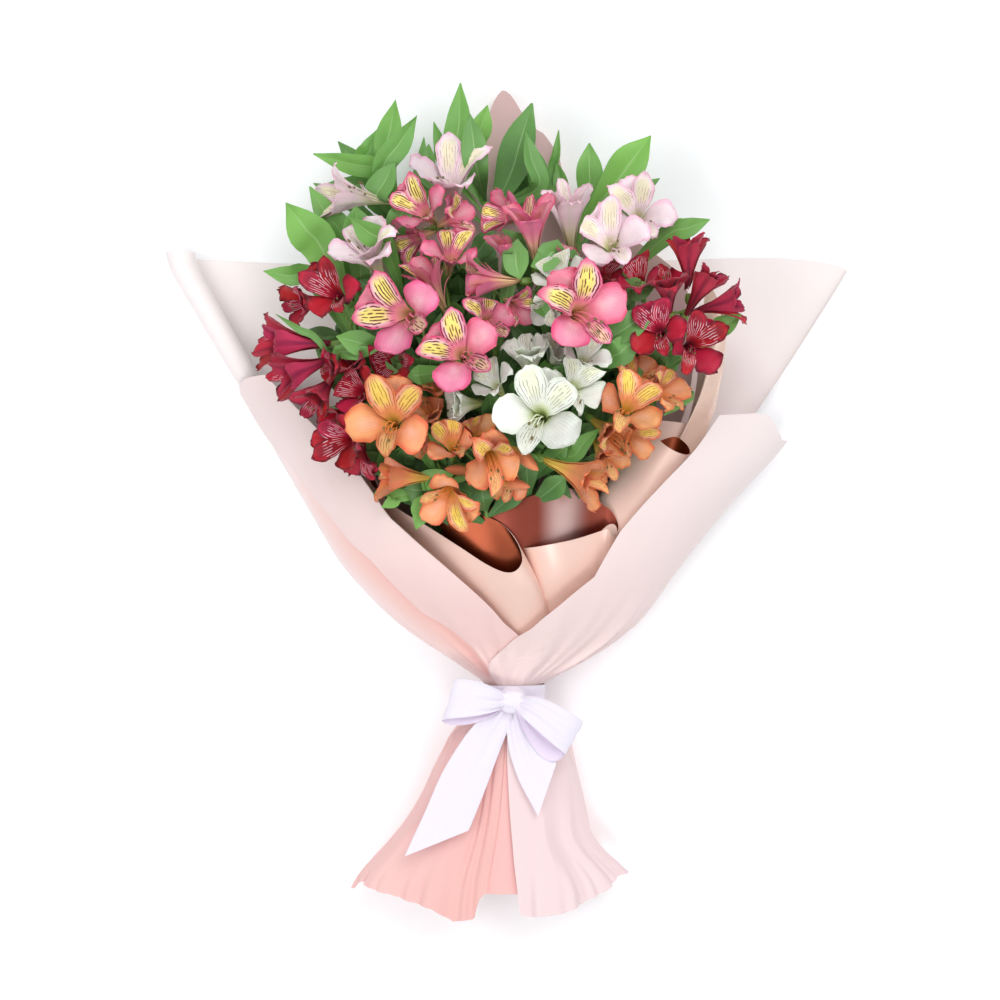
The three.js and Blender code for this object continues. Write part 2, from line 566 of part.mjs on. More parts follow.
const WRAPS = {
  tissue_back: { colour: "tissue", sections: TISSUE_SECTIONS, layer: 0,
    from: [[-345, 196], [-131, 196], [40, 190], [200, 180]], to: [[-345, 344], [-131, 344], [40, 350], [200, 366]],
    hem: [-318, -326, -322, -316], lip: [200, 204, 202, 204, 196], below: LOWER_ROWS, above: UPPER_ROWS,
    cols: 13, rollFrom: [12, 200] },
  tissue_right: { colour: "tissue", sections: TISSUE_SECTIONS, layer: 1,
    from: [[-345, -14], [-131, -14], [84, -8]],
    to: [[-345, 73], [-186, 116], [-158, 120], [-112, 88], [-88, 71], [-60, 60], [-16, 52], [40, 47], [84, 42]],
    hem: [-300, -310, -334, -340], lip: [66, 56, 66, 84, 80], below: LOWER_ROWS, above: UPPER_ROWS, cols: 9 },
  tissue_left: { colour: "tissue", sections: TISSUE_SECTIONS, layer: 2,
    from: [[-345, 104], [-186, 66], [-158, 62], [-112, 92], [-60, 114], [0, 127], [50, 143], [100, 149]],
    to: [[-345, 194], [-131, 194], [-80, 187], [84, 163]],
    hem: [-342, -338, -318, -304], lip: [102, 97, 84, 84], below: LOWER_ROWS, above: UPPER_ROWS, cols: 9 },
  copper_right: { colour: "copper", sections: COPPER_SECTIONS, layer: 0,
    from: [[-180, -42], [84, -30]], to: [[-180, 26], [84, 38]],
    hem: [-176, -176], lip: [128, 120, 84, 60], below: TUCKED, above: UPPER_ROWS, cols: 6 },
  copper_front: { colour: "copper", sections: COPPER_SECTIONS, layer: 0,
    from: [[-180, 36], [-56, 46], [0, 50]], to: [[-180, 80], [0, 86]],
    hem: [-176, -176], lip: [-14, -20, -36], below: TUCKED, above: UPPER_ROWS, cols: 5, rollFrom: [9, 200] },
  copper_left: { colour: "copper", sections: COPPER_SECTIONS, layer: 0,
    from: [[-180, 90], [0, 94]], to: [[-180, 220], [84, 206]],
    hem: [-176, -176], lip: [-52, -14, 28, 50, 60], below: TUCKED, above: UPPER_ROWS, cols: 8, rollFrom: [8, 200] },
  copper_back: { colour: "copper", sections: COPPER_SECTIONS, layer: 1,
    from: [[-180, 216], [84, 202]], to: [[-180, 322], [84, 334], [200, 338]],
    hem: [-176, -176], lip: [110, 210, 328, 216, 140], below: TUCKED, above: UPPER_ROWS, cols: 9 },
};

// ---------------------------------------------------------------- ribbon

const RIBBON_WIDTH = 38;
const BAND = { radius: WAIST + LAYER + 0.3, low: -171, high: -150, sides: 16 };
const KNOT = { centre: v3(10, -161, 68), size: v3(12, 11, 6.5) };

/** The band of ribbon, bunched together round the waist. */
function bandGeometry() {
  const row = (y) => Array.from({ length: BAND.sides }, (_, i) => {
    const turn = (-2 * Math.PI * i) / BAND.sides;
    return v3(TIE.x + BAND.radius * Math.cos(turn), y, TIE.z + BAND.radius * Math.sin(turn));
  });
  return sheet([row(BAND.low), row(BAND.high)], PAPER, true);
}

/** One loop of the bow, from its root in the knot to its far end. */
function loopGeometry(root, end, rise, rootWidth) {
  const along = end.clone().sub(root);
  const across = v3(0, 0, 1).cross(along).normalize();
  const row = (side) => Array.from({ length: 12 }, (_, i) => {
    const turn = (2 * Math.PI * i) / 12;
    const reach = (1 - Math.cos(turn)) / 2;
    return root.clone().addScaledVector(along, reach)
      .addScaledVector(across, (side / 2) * lerp(rootWidth, RIBBON_WIDTH, reach))
      .add(v3(0, 0, rise * Math.sin(turn)));
  });
  return sheet([row(-1), row(1)], PAPER, true);
}

/** One tail of the bow: the middles of its rows, and how far its end is cut on the slant. */
function tailGeometry(middles, widths, slant) {
  const path = middles.map(([x, y, z]) => v3(x, y, z));
  return sheet(path.map((middle, j) => {
    const along = path[Math.min(j + 1, path.length - 1)].clone().sub(path[Math.max(j - 1, 0)]).normalize();
    const across = v3(0, 0, 1).cross(along).normalize();
    const skew = j === path.length - 1 ? slant : 0;
    return [-1, 1].map((side) => middle.clone().addScaledVector(across, (side * widths[j]) / 2)
      .addScaledVector(along, side * skew));
  }), PAPER);
}

/** The ribbon, tied in a bow, in one body. */
function ribbonSolid() {
  const knot = new THREE.SphereGeometry(1, 8, 6).scale(...KNOT.size.toArray())
    .translate(...KNOT.centre.toArray());
  return joined([
    bandGeometry(), knot,
    loopGeometry(v3(2, -160, 71), v3(-46, -160, 74), 5.5, 12),
    loopGeometry(v3(16, -164, 72), v3(64, -206, 75), 5, 12),
    tailGeometry([[6, -166, 66.5], [-8, -196, 67.5], [-29, -232, 69], [-50, -272, 70]], [14, 32, 38, 38], 8),
    tailGeometry([[14, -166, 66.5], [22, -196, 67], [34, -222, 68], [44, -246, 69]], [12, 24, 30, 32], -10),
  ]);
}

// ---------------------------------------------------------------- the bouquet

const bouquet = new THREE.Group();

/** Adds a solid to the bouquet as a named mesh. */
function add(name, solid, colour, roughness = 0.6, metalness = 0) {
  const material = new THREE.MeshStandardMaterial({
    color: COLOURS[colour], roughness, metalness, side: THREE.DoubleSide,
  });
  const mesh = new THREE.Mesh(geometryOf(solid), material);
  mesh.name = name;
  bouquet.add(mesh);
}

for (const [name, head] of Object.entries(HEADS)) add(`${name}_head`, headSolid(head), head.colour);

// Each leafy stem keeps clear of the heads and of the stems before it
const taken = Object.values(HEADS).map((head) => headSolid(head, SEAT_GAP));
for (const [name, top] of stemTops) {
  const trimmed = largestBody(stemSolid(name, top).subtract(wasm.Manifold.union(taken))).simplify(SMALLEST_EDGE);
  taken.push(stemSolid(name, top, SEAT_GAP));
  add(`${name}_stem`, trimmed, "leaf");
}
for (const [name, wrap] of Object.entries(WRAPS)) {
  const copper = wrap.colour === "copper";
  add(name, solidOf(sheet(wrapPoints(wrap), PAPER)), wrap.colour, copper ? 0.35 : 0.7, copper ? 0.6 : 0);
}

add("satin_ribbon", ribbonSolid(), "ribbon", 0.45);

export default bouquet;
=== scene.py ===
"""A hand-tied bouquet of cut alstroemerias, wrapped in copper paper and blush tissue and tied with a satin
ribbon, lying on its back.

Lists of places and shapes are in millimetres and degrees, in the frame of the part: +X to the right, +Y
from the cut ends to the flowers, +Z up from the surface that the bouquet lies on. Meshes are in metres.
"""
import math

import bpy
import numpy as np
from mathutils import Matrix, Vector

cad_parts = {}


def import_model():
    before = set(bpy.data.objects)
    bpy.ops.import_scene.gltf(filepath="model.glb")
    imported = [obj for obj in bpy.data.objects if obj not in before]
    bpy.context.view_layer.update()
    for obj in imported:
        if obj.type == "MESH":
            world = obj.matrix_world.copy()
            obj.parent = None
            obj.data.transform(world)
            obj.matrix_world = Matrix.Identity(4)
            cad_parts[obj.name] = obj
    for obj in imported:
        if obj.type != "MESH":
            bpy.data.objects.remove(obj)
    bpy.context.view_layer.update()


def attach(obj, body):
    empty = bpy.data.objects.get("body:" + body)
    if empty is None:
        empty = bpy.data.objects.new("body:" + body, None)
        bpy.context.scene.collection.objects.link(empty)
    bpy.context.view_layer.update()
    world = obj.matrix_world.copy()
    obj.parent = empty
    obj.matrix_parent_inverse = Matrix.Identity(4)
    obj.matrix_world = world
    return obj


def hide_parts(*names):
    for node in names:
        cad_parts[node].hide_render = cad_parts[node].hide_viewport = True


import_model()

MM = 0.001
TIE = np.array([10.0, -158.0, 36.0])  # middle of the wraps where the ribbon holds them
rng = np.random.default_rng(7)
PETAL, STALK, FILAMENT, ANTHER = range(4)  # places in a head's list of materials
LEAF = 0  # place in a stem's list of materials, where STALK is the second as well
FRONT, BACK = 0.0, 1.0  # marks of a blade's two faces


# ------------------------------------------------------------------ shapes

def vec(*values):
    return np.array(values, float)


def unit(v):
    return v / np.maximum(np.linalg.norm(v, axis=-1, keepdims=True), 1e-9)


def smooth(knots, places):
    """Values at places from 0 to 1 on a smooth curve through knots, each a number or a row of numbers."""
    knots = np.asarray(knots, float)
    knots = np.concatenate([2 * knots[:1] - knots[1:2], knots, 2 * knots[-1:] - knots[-2:-1]])
    last = len(knots) - 3
    place = np.clip(np.asarray(places, float), 0, 1) * last
    k = np.minimum(place.astype(int), last - 1)
    f = place - k
    if knots.ndim > 1:
        f = f[..., None]
    p0, p1, p2, p3 = (knots[k + step] for step in range(4))
    return 0.5 * (2 * p1 + (p2 - p0) * f + (2 * p0 - 5 * p1 + 4 * p2 - p3) * f ** 2
                  + (3 * p1 - p0 - 3 * p2 + p3) * f ** 3)


def ramp(x, low, high):
    """A soft step from 0 at low to 1 at high."""
    t = np.clip((np.asarray(x, float) - low) / (high - low), 0, 1)
    return t * t * (3 - 2 * t)


def turned(v, axis, angle):
    """v turned about a unit axis by an angle in radians."""
    return (v * math.cos(angle) + np.cross(axis, v) * math.sin(angle)
            + axis * np.dot(axis, v) * (1 - math.cos(angle)))


def tube_faces(rings, sides):
    """The faces of a closed tube, whose points come ring by ring."""
    faces = []
    for start in range(0, (rings - 1) * sides, sides):
        for i in range(sides):
            j = (i + 1) % sides
            faces.append((start + i, start + j, start + sides + j, start + sides + i))
    return faces + [tuple(range(sides))[::-1], tuple((rings - 1) * sides + i for i in range(sides))]


class Heap:
    """The points, faces and marks of one mesh, gathered piece by piece, in millimetres."""

    def __init__(self):
        self.points, self.faces, self.looks, self.marks = [], [], [], []
        self.count = 0

    def add(self, points, faces, look, across, along, kind=0.0, side=0.0, chance=(0.0, 0.0)):
        """across and along are each point's place on its piece, from 0 to 1; look is a material's number,
        or one for each face."""
        n = len(points)
        self.points.append(np.asarray(points, float))
        self.faces += [tuple(int(i) + self.count for i in face) for face in faces]
        self.looks += list(np.broadcast_to(look, len(faces)))
        self.marks.append(np.stack([np.broadcast_to(m, n) for m in
                                    (across, along, kind, side, chance[0], chance[1])], axis=1))
        self.count += n

    def blade(self, grid, thickness, look=0, back_look=None, kind=0.0, chance=(0.0, 0.0), ring=False):
        """A closed thin sheet round a grid of points, rows along it and columns across it. look and
        back_look are the materials of its two faces, each a number or one for each column."""
        grid = np.asarray(grid, float)
        rows, cols = grid.shape[:2]
        along_step = np.gradient(grid, axis=0)
        if ring:
            across_step = np.roll(grid, -1, axis=1) - np.roll(grid, 1, axis=1)
        else:
            across_step = np.gradient(grid, axis=1)
        normal = unit(np.cross(across_step, along_step))
        half = np.broadcast_to(thickness, (rows, cols))[..., None] / 2
        points = np.stack([grid + normal * half, grid - normal * half]).reshape(-1, 3)
        number = np.arange(rows * cols).reshape(rows, cols)
        if ring:
            number = np.concatenate([number, number[:, :1]], axis=1)
        a, b, c, d = number[:-1, :-1], number[:-1, 1:], number[1:, 1:], number[1:, :-1]
        front = np.stack([a, b, c, d], axis=-1).reshape(-1, 4)
        back = front[:, ::-1] + rows * cols
        rim = [number[0, ::-1], number[-1, :]]
        if not ring:
            rim += [number[:, 0], number[::-1, -1]]
        edges = np.concatenate([np.stack([line[:-1], line[1:]], axis=1) for line in rim])
        sides = np.stack([edges[:, 0], edges[:, 1], edges[:, 1] + rows * cols, edges[:, 0] + rows * cols],
                         axis=1)[:, ::-1]
        strips = number.shape[1] - 1
        fronts = np.tile(np.broadcast_to(look, strips), rows - 1)
        backs = fronts if back_look is None else np.tile(np.broadcast_to(back_look, strips), rows - 1)
        looks = [*fronts, *backs, *np.full(len(sides), fronts[0])]
        u, v = np.meshgrid(np.linspace(0, 1, cols), np.linspace(0, 1, rows))
        side = np.repeat([FRONT, BACK], rows * cols)
        self.add(points, np.concatenate([front, back, sides]), looks, np.tile(u.ravel(), 2),
                 np.tile(v.ravel(), 2), kind, side, chance)

    def rod(self, path, radii, sides=6, look=0, kind=0.0, chance=(0.0, 0.0)):
        """A round rod along a path of points, with closed ends."""
        path = np.asarray(path, float)
        n = len(path)
        radii = np.broadcast_to(radii, n)
        along = unit(np.gradient(path, axis=0))
        level = np.cross(along[0], vec(0, 0, 1))
        if np.linalg.norm(level) < 0.1:
            level = np.cross(along[0], vec(1, 0, 0))
        rings = []
        for j in range(n):
            level = unit(level - along[j] * np.dot(level, along[j]))
            other = np.cross(along[j], level)
            turn = np.arange(sides) * 2 * math.pi / sides
            out = np.cos(turn)[:, None] * level + np.sin(turn)[:, None] * other
            rings.append(path[j] + radii[j] * out)
        across = np.tile(np.arange(sides) / sides, n)
        self.add(np.concatenate(rings), tube_faces(n, sides), look, across,
                 np.repeat(np.linspace(0, 1, n), sides), kind, 0.0, chance)

    def mesh(self, name, materials, sharp=50):
        """The heap as an object, in metres."""
        mesh = bpy.data.meshes.new(name)
        mesh.from_pydata((np.concatenate(self.points) * MM).tolist(), [], self.faces)
        marks = np.concatenate(self.marks)
        loops = np.empty(len(mesh.loops), int)
        mesh.loops.foreach_get("vertex_index", loops)
        for layer, (a, b) in {"Place": (0, 1), "Kind": (2, 3), "Chance": (4, 5)}.items():
            uv = mesh.uv_layers.new(name=layer)
            uv.data.foreach_set("uv", marks[loops][:, [a, b]].astype(np.float32).ravel())
        for material in materials:
            mesh.materials.append(material)
        mesh.polygons.foreach_set("material_index", np.array(self.looks, np.int32))
        mesh.validate()
        mesh.shade_smooth()
        mesh.set_sharp_from_angle(angle=math.radians(sharp))
        obj = bpy.data.objects.new(name, mesh)
        bpy.context.scene.collection.objects.link(obj)
        return obj


def piece(heap, name, materials, slot, *nodes, sharp=50):
    """Makes a heap's object, which stands for the given nodes of the frame."""
    obj = heap.mesh(name, materials, sharp)
    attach(obj, "root")
    if nodes:
        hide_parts(*nodes)
    return obj


# ------------------------------------------------------------------ flowers

BLOOM_SIZE = 60  # nominal width of an open flower, which the tepal shapes are drawn at
MOUTH = 30  # height of a flower's mouth above its base at that size
HEART_DEPTH = 6  # depth of its middle under the mouth
# Tepals at the nominal size, from root to tip: [out from the axis, up the axis, half width]
OUTER_TEPAL = [[2.0, 1.0, 1.6], [3.8, 10, 2.6], [6.6, 19, 5.2], [11.2, 26.5, 9.6], [17.5, 31.5, 12.8],
               [23.5, 34.0, 12.4], [28.4, 34.8, 8.0], [31.8, 34.4, 1.0]]
UPPER_TEPAL = [[1.6, 2.0, 1.2], [3.0, 12, 2.2], [5.6, 22, 4.6], [9.8, 30.5, 7.4], [15.6, 36.5, 9.2],
               [21.8, 39.8, 8.4], [27.4, 41.4, 5.0], [31.8, 41.8, 0.5]]
LOWER_TEPAL = [[1.6, 2.0, 1.2], [4.2, 12, 2.2], [7.8, 21, 4.2], [12.6, 28.5, 6.2], [18.6, 33.0, 7.0],
               [24.2, 35.4, 5.6], [28.6, 36.0, 3.0], [31.0, 35.8, 0.4]]
# Each form: (spread of the tepals, stretch along the axis, width of the tepals, how much they ruffle, rise
# of their ends)
FORMS = {"open": (1.0, 1.0, 1.0, 1.0, 0.0), "cup": (0.88, 1.02, 0.94, 0.8, 0.22),
         "funnel": (0.66, 1.16, 0.68, 0.4, 0.5)}
OUTER, UPPER, LOWER = 0.0, 1.0, 2.0  # kinds of tepal
# The six tepals in turn round the axis: [outline, kind, angle]
TEPALS = [(OUTER_TEPAL, OUTER, 0), (UPPER_TEPAL, UPPER, 35), (OUTER_TEPAL, OUTER, 116),
          (LOWER_TEPAL, LOWER, 180), (OUTER_TEPAL, OUTER, 244), (UPPER_TEPAL, UPPER, 325)]
BUD_RINGS = [[1.2, 0], [3.2, 4], [6.0, 13], [6.4, 22], [4.4, 31], [2.2, 36], [0.6, 38.5]]  # [radius, up]
TEPAL_ROWS, TEPAL_COLS = 17, 11
# Of outer and of inner tepals: how far the end curls back, how hollow the blade is, how deep its edges
# ruffle, and how far it keeps from the next flower
OUTER_HABIT, INNER_HABIT = (6.5, 0.26, 3.0, 0.3), (4.5, 0.34, 1.6, 1.2)
TEPAL_THICKNESS = 0.35


def face_height(x, y):
    """The height of the flower faces over a point of the surface."""
    return 158 - 0.0019 * (y - 90) ** 2 - 0.0014 * (x - 10) ** 2


# Each head: its variety, and its flowers as [x, y, depth under the face, tilt from upright, heading of the
# tilt, size, turn about its axis, form].
HEADS = {
    "pale_left": ("blush", [
        [-116, 241, 2, 72, 175, 66, -65, "funnel"], [-104, 196, -2, 45, 118, 68, 107, "cup"]]),
    "pale_top": ("blush", [
        [-40, 256, 2, 50, 97, 74, -127, "cup"]]),
    "pale_right": ("blush", [
        [54, 222, 8, 62, 96, 70, 90, "funnel"], [85, 205, -8, 26, 110, 64, -75, "open"],
        [110, 228, 4, 20, 80, 58, -60, "open"]]),
    "pink_top_left": ("pink", [
        [-62, 229, -2, 34, 140, 56, -100, "cup"], [-36, 222, 8, 50, 20, 44, 40, "cup"],
        [-68, 206, 14, 50, 205, 48, -60, "cup"], [-38, 194, 8, 38, 80, 54, -90, "cup"],
        [-54, 170, 4, 58, 118, 60, 20, "funnel"]]),
    "pink_left": ("pink", [
        [-78, 144, -12, 22, 185, 70, -125, "open"]]),
    "pink_centre": ("pink", [
        [-31, 115, -12, 14, 120, 66, -65, "open"], [-8, 142, 6, 24, 40, 50, 0, "open"],
        [-10, 170, 2, 64, 182, 64, 40, "funnel"], [14, 152, 16, 40, 330, 42, 0, "cup"]]),
    "pink_top_right": ("pink", [
        [25, 212, -4, 60, 96, 68, 90, "funnel"], [2, 224, 8, 50, 170, 46, -60, "cup"],
        [8, 240, 10, 60, 110, 38, 0, "bud"], [6, 196, 14, 60, 108, 50, 90, "funnel"],
        [48, 193, 14, 55, 60, 42, 20, "cup"]]),
    "pink_right": ("pink", [
        [64, 147, -14, 16, 20, 72, 15, "open"]]),
    "red_top_left": ("crimson", [
        [-131, 163, -2, 26, 150, 58, -120, "cup"], [-157, 156, 12, 58, 195, 46, 90, "cup"]]),
    "red_left": ("crimson", [
        [-165, 124, -2, 76, 178, 70, 90, "funnel"], [-157, 102, -6, 68, 200, 66, 80, "funnel"],
        [-144, 80, 8, 62, 235, 54, 90, "cup"], [-117, 108, 12, 40, 130, 46, 90, "cup"],
        [-134, 104, 8, 50, 190, 46, 90, "cup"], [-126, 64, 14, 44, 220, 42, 90, "cup"]]),
    "red_low_left": ("crimson", [
        [-121, 47, 2, 34, 195, 56, -110, "cup"], [-112, 86, 6, 36, 160, 54, -110, "cup"],
        [-84, 108, 16, 24, 200, 54, -100, "cup"], [-110, 32, 16, 60, 260, 38, 0, "cup"]]),
    "red_top_right": ("crimson", [
        [82, 178, 14, 45, 60, 44, -60, "cup"], [108, 174, 4, 38, 110, 48, -100, "cup"],
        [131, 169, -2, 58, 97, 54, 90, "cup"], [148, 188, 0, 76, 92, 56, 90, "funnel"]]),
    "red_right": ("crimson", [
        [158, 167, -4, 66, 62, 56, 90, "funnel"], [174, 153, -2, 74, 10, 54, 80, "funnel"],
        [122, 133, -8, 20, 150, 52, -130, "open"], [152, 122, -10, 18, 20, 56, -50, "open"]]),
    "white_front": ("white", [
        [30, 68, -14, 10, 120, 78, -140, "open"], [60, 90, 0, 26, 40, 60, -50, "open"],
        [66, 113, 8, 40, 70, 46, -70, "cup"], [22, 113, 12, 60, 98, 56, 90, "cup"],
        [-33, 74, 12, 60, 185, 52, 90, "cup"], [-6, 92, 8, 40, 130, 46, -100, "cup"],
        [44, 114, 18, 50, 60, 42, 0, "cup"]]),
    "white_back": ("white", [
        [45, 176, 6, 34, 110, 58, -90, "cup"], [36, 150, 14, 50, 250, 38, 0, "cup"]]),
    "orange_left": ("apricot", [
        [-84, 64, -14, 14, 110, 70, -120, "open"], [-55, 70, 16, 40, 120, 48, 90, "cup"],
        [-77, 18, 6, 74, 178, 60, 90, "funnel"], [-61, 45, 14, 60, 190, 42, 90, "cup"]]),
    "orange_mid": ("apricot", [
        [-37, 46, 4, 28, 90, 56, -60, "cup"], [-5, 31, -4, 26, 300, 62, 70, "cup"],
        [-40, 2, 0, 36, 250, 56, 0, "cup"], [25, 27, 2, 66, 318, 48, 0, "bud"],
        [18, 11, 6, 64, 350, 42, 0, "bud"], [-38, 24, 12, 64, 175, 38, 0, "bud"],
        [-50, 88, 20, 50, 100, 32, 0, "cup"],
        [8, 14, 14, 50, 260, 40, 90, "cup"], [-18, 54, 14, 40, 60, 40, 0, "cup"]]),
    "orange_right": ("apricot", [
        [60, 20, -2, 60, 336, 70, 90, "funnel"], [100, 75, -6, 26, 70, 60, -100, "open"],
        [128, 86, 8, 46, 30, 48, 0, "cup"], [88, 50, 4, 46, 320, 58, 90, "cup"],
        [104, 50, 10, 40, 330, 44, 0, "cup"], [82, 32, 10, 52, 300, 44, 90, "cup"],
        [108, 98, 14, 44, 80, 44, 0, "cup"]]),
}


class Flower:
    """Where a flower of the list above sits: its base, its axis, its scale and its reach."""

    def __init__(self, x, y, depth, tilt, heading, size, turn, form):
        self.scale = size / BLOOM_SIZE
        t, h = math.radians(tilt), math.radians(heading)
        self.axis = vec(math.sin(t) * math.cos(h), math.sin(t) * math.sin(h), math.cos(t))
        mouth = vec(x, y, face_height(x, y) - depth)
        self.base = mouth - self.axis * MOUTH * self.scale
        self.middle = mouth - self.axis * HEART_DEPTH * self.scale
        self.turn, self.form = turn, form
        self.reach = (0.3 if form == "bud" else 0.5) * size
        self.walls = []

    def out(self, angle):
        """The unit vector out of the axis at an angle round it."""
        side = np.cross(vec(0, 0, 1), self.axis)
        side = vec(0, 1, 0) if np.linalg.norm(side) < 1e-3 else unit(side)
        return turned(side, self.axis, math.radians(self.turn + angle))

    def up(self, height):
        return self.base + self.axis * height * self.scale


heads = {name: (variety, [Flower(*row) for row in rows]) for name, (variety, rows) in HEADS.items()}
all_flowers = [flower for _, flowers in heads.values() for flower in flowers]

CELL_OVERLAP = 5  # how far the cells of two flowers overlap
CELL_GIVE = 0.34  # the outer share of a cell, over which a tepal bends back


def make_room(flowers):
    """Gives each flower the walls between it and its neighbours."""
    for flower in flowers:
        for other in flowers:
            if other is flower:
                continue
            apart = other.middle - flower.middle
            distance = np.linalg.norm(apart)
            room = distance * flower.reach / (flower.reach + other.reach) + CELL_OVERLAP / 2
            if room < 1.5 * flower.reach:
                flower.walls.append((apart / distance, room))


def kept_clear(points, flower, clearance):
    """Bends the points of a flower back from its neighbours, so that each keeps to a cell of its own."""
    offset = points - flower.middle
    for attempt in range(6):
        for normal, room in flower.walls:
            limit = room - clearance
            give = CELL_GIVE * room
            past = offset @ normal - (limit - give)
            bent = limit if attempt else limit - give * np.exp(-np.maximum(past, 0) / give)
            shift = np.minimum(bent - (past + limit - give), 0)
            offset = offset + shift[..., None] * normal
    return offset + flower.middle


def tepal(heap, flower, outline, kind, angle, chance):
    """One tepal: a clawed blade that opens, cups and ruffles towards its end."""
    spread, stretch, width, ruffling, rise = FORMS[flower.form]
    end_curl, hollow, ruffle_depth, clearance = OUTER_HABIT if kind == OUTER else INNER_HABIT
    t = np.linspace(0, 1, TEPAL_ROWS) ** 0.92
    out, up, half = smooth(outline, t).T
    length = 1 + 0.07 * (chance[1] - 0.5)
    root = outline[0][0]
    out = (root + spread * (out - root)) * (1 + 0.16 * (chance[0] - 0.5) * ramp(t, 0.3, 1))
    up = up * stretch * length + rise * np.maximum(out - 6, 0) * (0.8 + 0.4 * chance[1])
    scallops = 1 + 0.05 * np.sin(9 * t + 12 * chance[0]) + 0.04 * np.sin(27 * t + 9 * chance[1])
    half = half * width * scallops
    curl = ruffling * end_curl * (chance[0] - 0.3) * ramp(t, 0.55, 1) ** 1.5
    sway = 9 * (chance[1] - 0.5) * t ** 2
    u = np.linspace(-1, 1, TEPAL_COLS)[None, :]
    t, out, up, half, curl, sway = (value[:, None] for value in (t, out, up, half, curl, sway))
    slope_out, slope_up = np.gradient(out, axis=0), np.gradient(up, axis=0)
    size = np.hypot(slope_out, slope_up)
    cup_out, cup_up = -slope_up / size, slope_out / size  # the side that faces into the flower
    cupping = hollow * (1 - 0.6 * ramp(t, 0.5, 1))
    ruffle = ruffling * ruffle_depth * ramp(t, 0.4, 0.9) * np.abs(u) ** 1.8
    wave = (np.sin(t * (15 + 9 * chance[1]) + 6.3 * chance[0] + 2.6 * np.sign(u) * chance[1])
            + 0.5 * np.sin(t * 41 + 9 * chance[1] + np.sign(u)))
    crease = -0.7 * np.exp(-(u / 0.16) ** 2) * ramp(t, 0.15, 0.5) * (1 - ramp(t, 0.9, 1))
    lift = cupping * half * u ** 2 + ruffle * wave + crease - curl * (0.5 + u ** 2)
    points = (flower.base
              + flower.out(angle) * (flower.scale * (out + lift * cup_out))[..., None]
              + np.cross(flower.axis, flower.out(angle)) * (flower.scale * (half * u + sway))[..., None]
              + flower.axis * (flower.scale * (up + lift * cup_up))[..., None])
    points = kept_clear(points, flower, clearance)
    heap.blade(points[:, ::-1], TEPAL_THICKNESS, look=PETAL, kind=kind, chance=chance)


def stamens(heap, flower, chance):
    """Six curved filaments with their anthers, and the style, which lean to the flower's lower side."""
    down = flower.out(180)
    for k in range(7):
        side = flower.out(30 + 60 * k)
        reach = 30 + 5 * math.sin(2.4 * k + 9 * chance)
        t = np.linspace(0, 1, 7)[:, None]
        spread = (1.0 + (3.2 if k < 6 else 0.5) * t) * side
        lean = (7.5 * t ** 1.4 + 5.0 * t ** 5) * down
        path = flower.base + flower.scale * (spread + lean + flower.axis * (3 + reach * t - 2.5 * t ** 6))
        path = kept_clear(path, flower, 2.0)
        heap.rod(path, flower.scale * np.linspace(0.55, 0.4, 7), 5, look=FILAMENT)
        if k < 6:
            tip = path[-1]
            along = unit(path[-1] - path[-2] + 0.6 * side * flower.scale)
            bead = [tip + along * flower.scale * d for d in (-0.4, 0.2, 1.2, 2.3, 2.8)]
            heap.rod(bead, flower.scale * np.array([0.3, 0.7, 0.85, 0.65, 0.15]), 6, look=ANTHER, kind=1)


def bud(heap, flower, chance):
    """A closed bud: its outer tepals folded over each other in three ribs."""
    turn = np.arange(18) * 2 * math.pi / 18
    radius, height = smooth(BUD_RINGS, np.linspace(0, 1, 14)).T
    ribs = 1 + 0.07 * np.cos(3 * turn + 1.2)[None, :] * ramp(height, 3, 20)[:, None] \
        - 0.10 * np.exp(-(np.mod(turn + height[:, None] * 0.02, 2.094) / 0.18) ** 2)
    out = np.stack([flower.out(math.degrees(a)) for a in turn])
    rows = (flower.base + flower.scale * ((radius[:, None] * ribs)[..., None] * out[None]
                                          + (height[:, None, None]) * flower.axis))
    n, m = rows.shape[:2]
    heap.add(rows.reshape(-1, 3), tube_faces(n, m), PETAL, np.tile(np.arange(m) / m, n),
             np.repeat(np.linspace(0, 1, n), m), OUTER, BACK, chance)


def pedicel(heap, flower, hub, line, chance):
    """The curved stalk of a flower, from the head's hub, and the ribbed ovary under its tepals."""
    reach = np.linalg.norm(flower.base - hub)
    knots = [hub - line * 2, hub + line * 0.28 * reach, flower.base - flower.axis * 0.3 * reach,
             flower.base - flower.axis * 4 * flower.scale, flower.up(0.6)]
    heap.rod(smooth(knots, np.linspace(0, 1, 10)), np.linspace(1.25, 1.15, 10), 6, look=STALK,
             chance=chance)
    heights = np.array([-7.5, -6, -3.5, -1, 1, 2.6])
    radii = flower.scale * np.array([1.1, 2.5, 3.3, 3.2, 2.7, 2.0])
    heap.rod([flower.up(h) for h in heights], radii, 9, look=STALK, kind=1, chance=chance)


def hub_of(flowers):
    """Where the pedicels of a head spring from the top of its stem."""
    middle = np.mean([flower.base for flower in flowers], axis=0)
    return middle * 0.91 + TIE * 0.09 + vec(0, 0, -6)


# ------------------------------------------------------------------ stems and leaves

BUNDLE = TIE + vec(0, 0, -6.2)  # middle of the stems at the tie
STEM_RADIUS, STEM_TOP_RADIUS = 2.1, 1.7
STEM_PITCH = 4.6  # from stem to stem in a row at the tie
ROW_PITCH = 0.9  # from row to row, as a share of that
BUNDLE_ROWS = [4, 5, 4, 5, 3]  # stems in each row at the tie, from the back to the front
CUT_LENGTH, CUT_SPREAD, CUT_DROP = 126, 1.15, 4  # how the stems run on to their cut ends
HUB_LENGTH = 4.3  # from a stem's top to the middle of its head's hub
LEAF_THICKNESS = 0.35

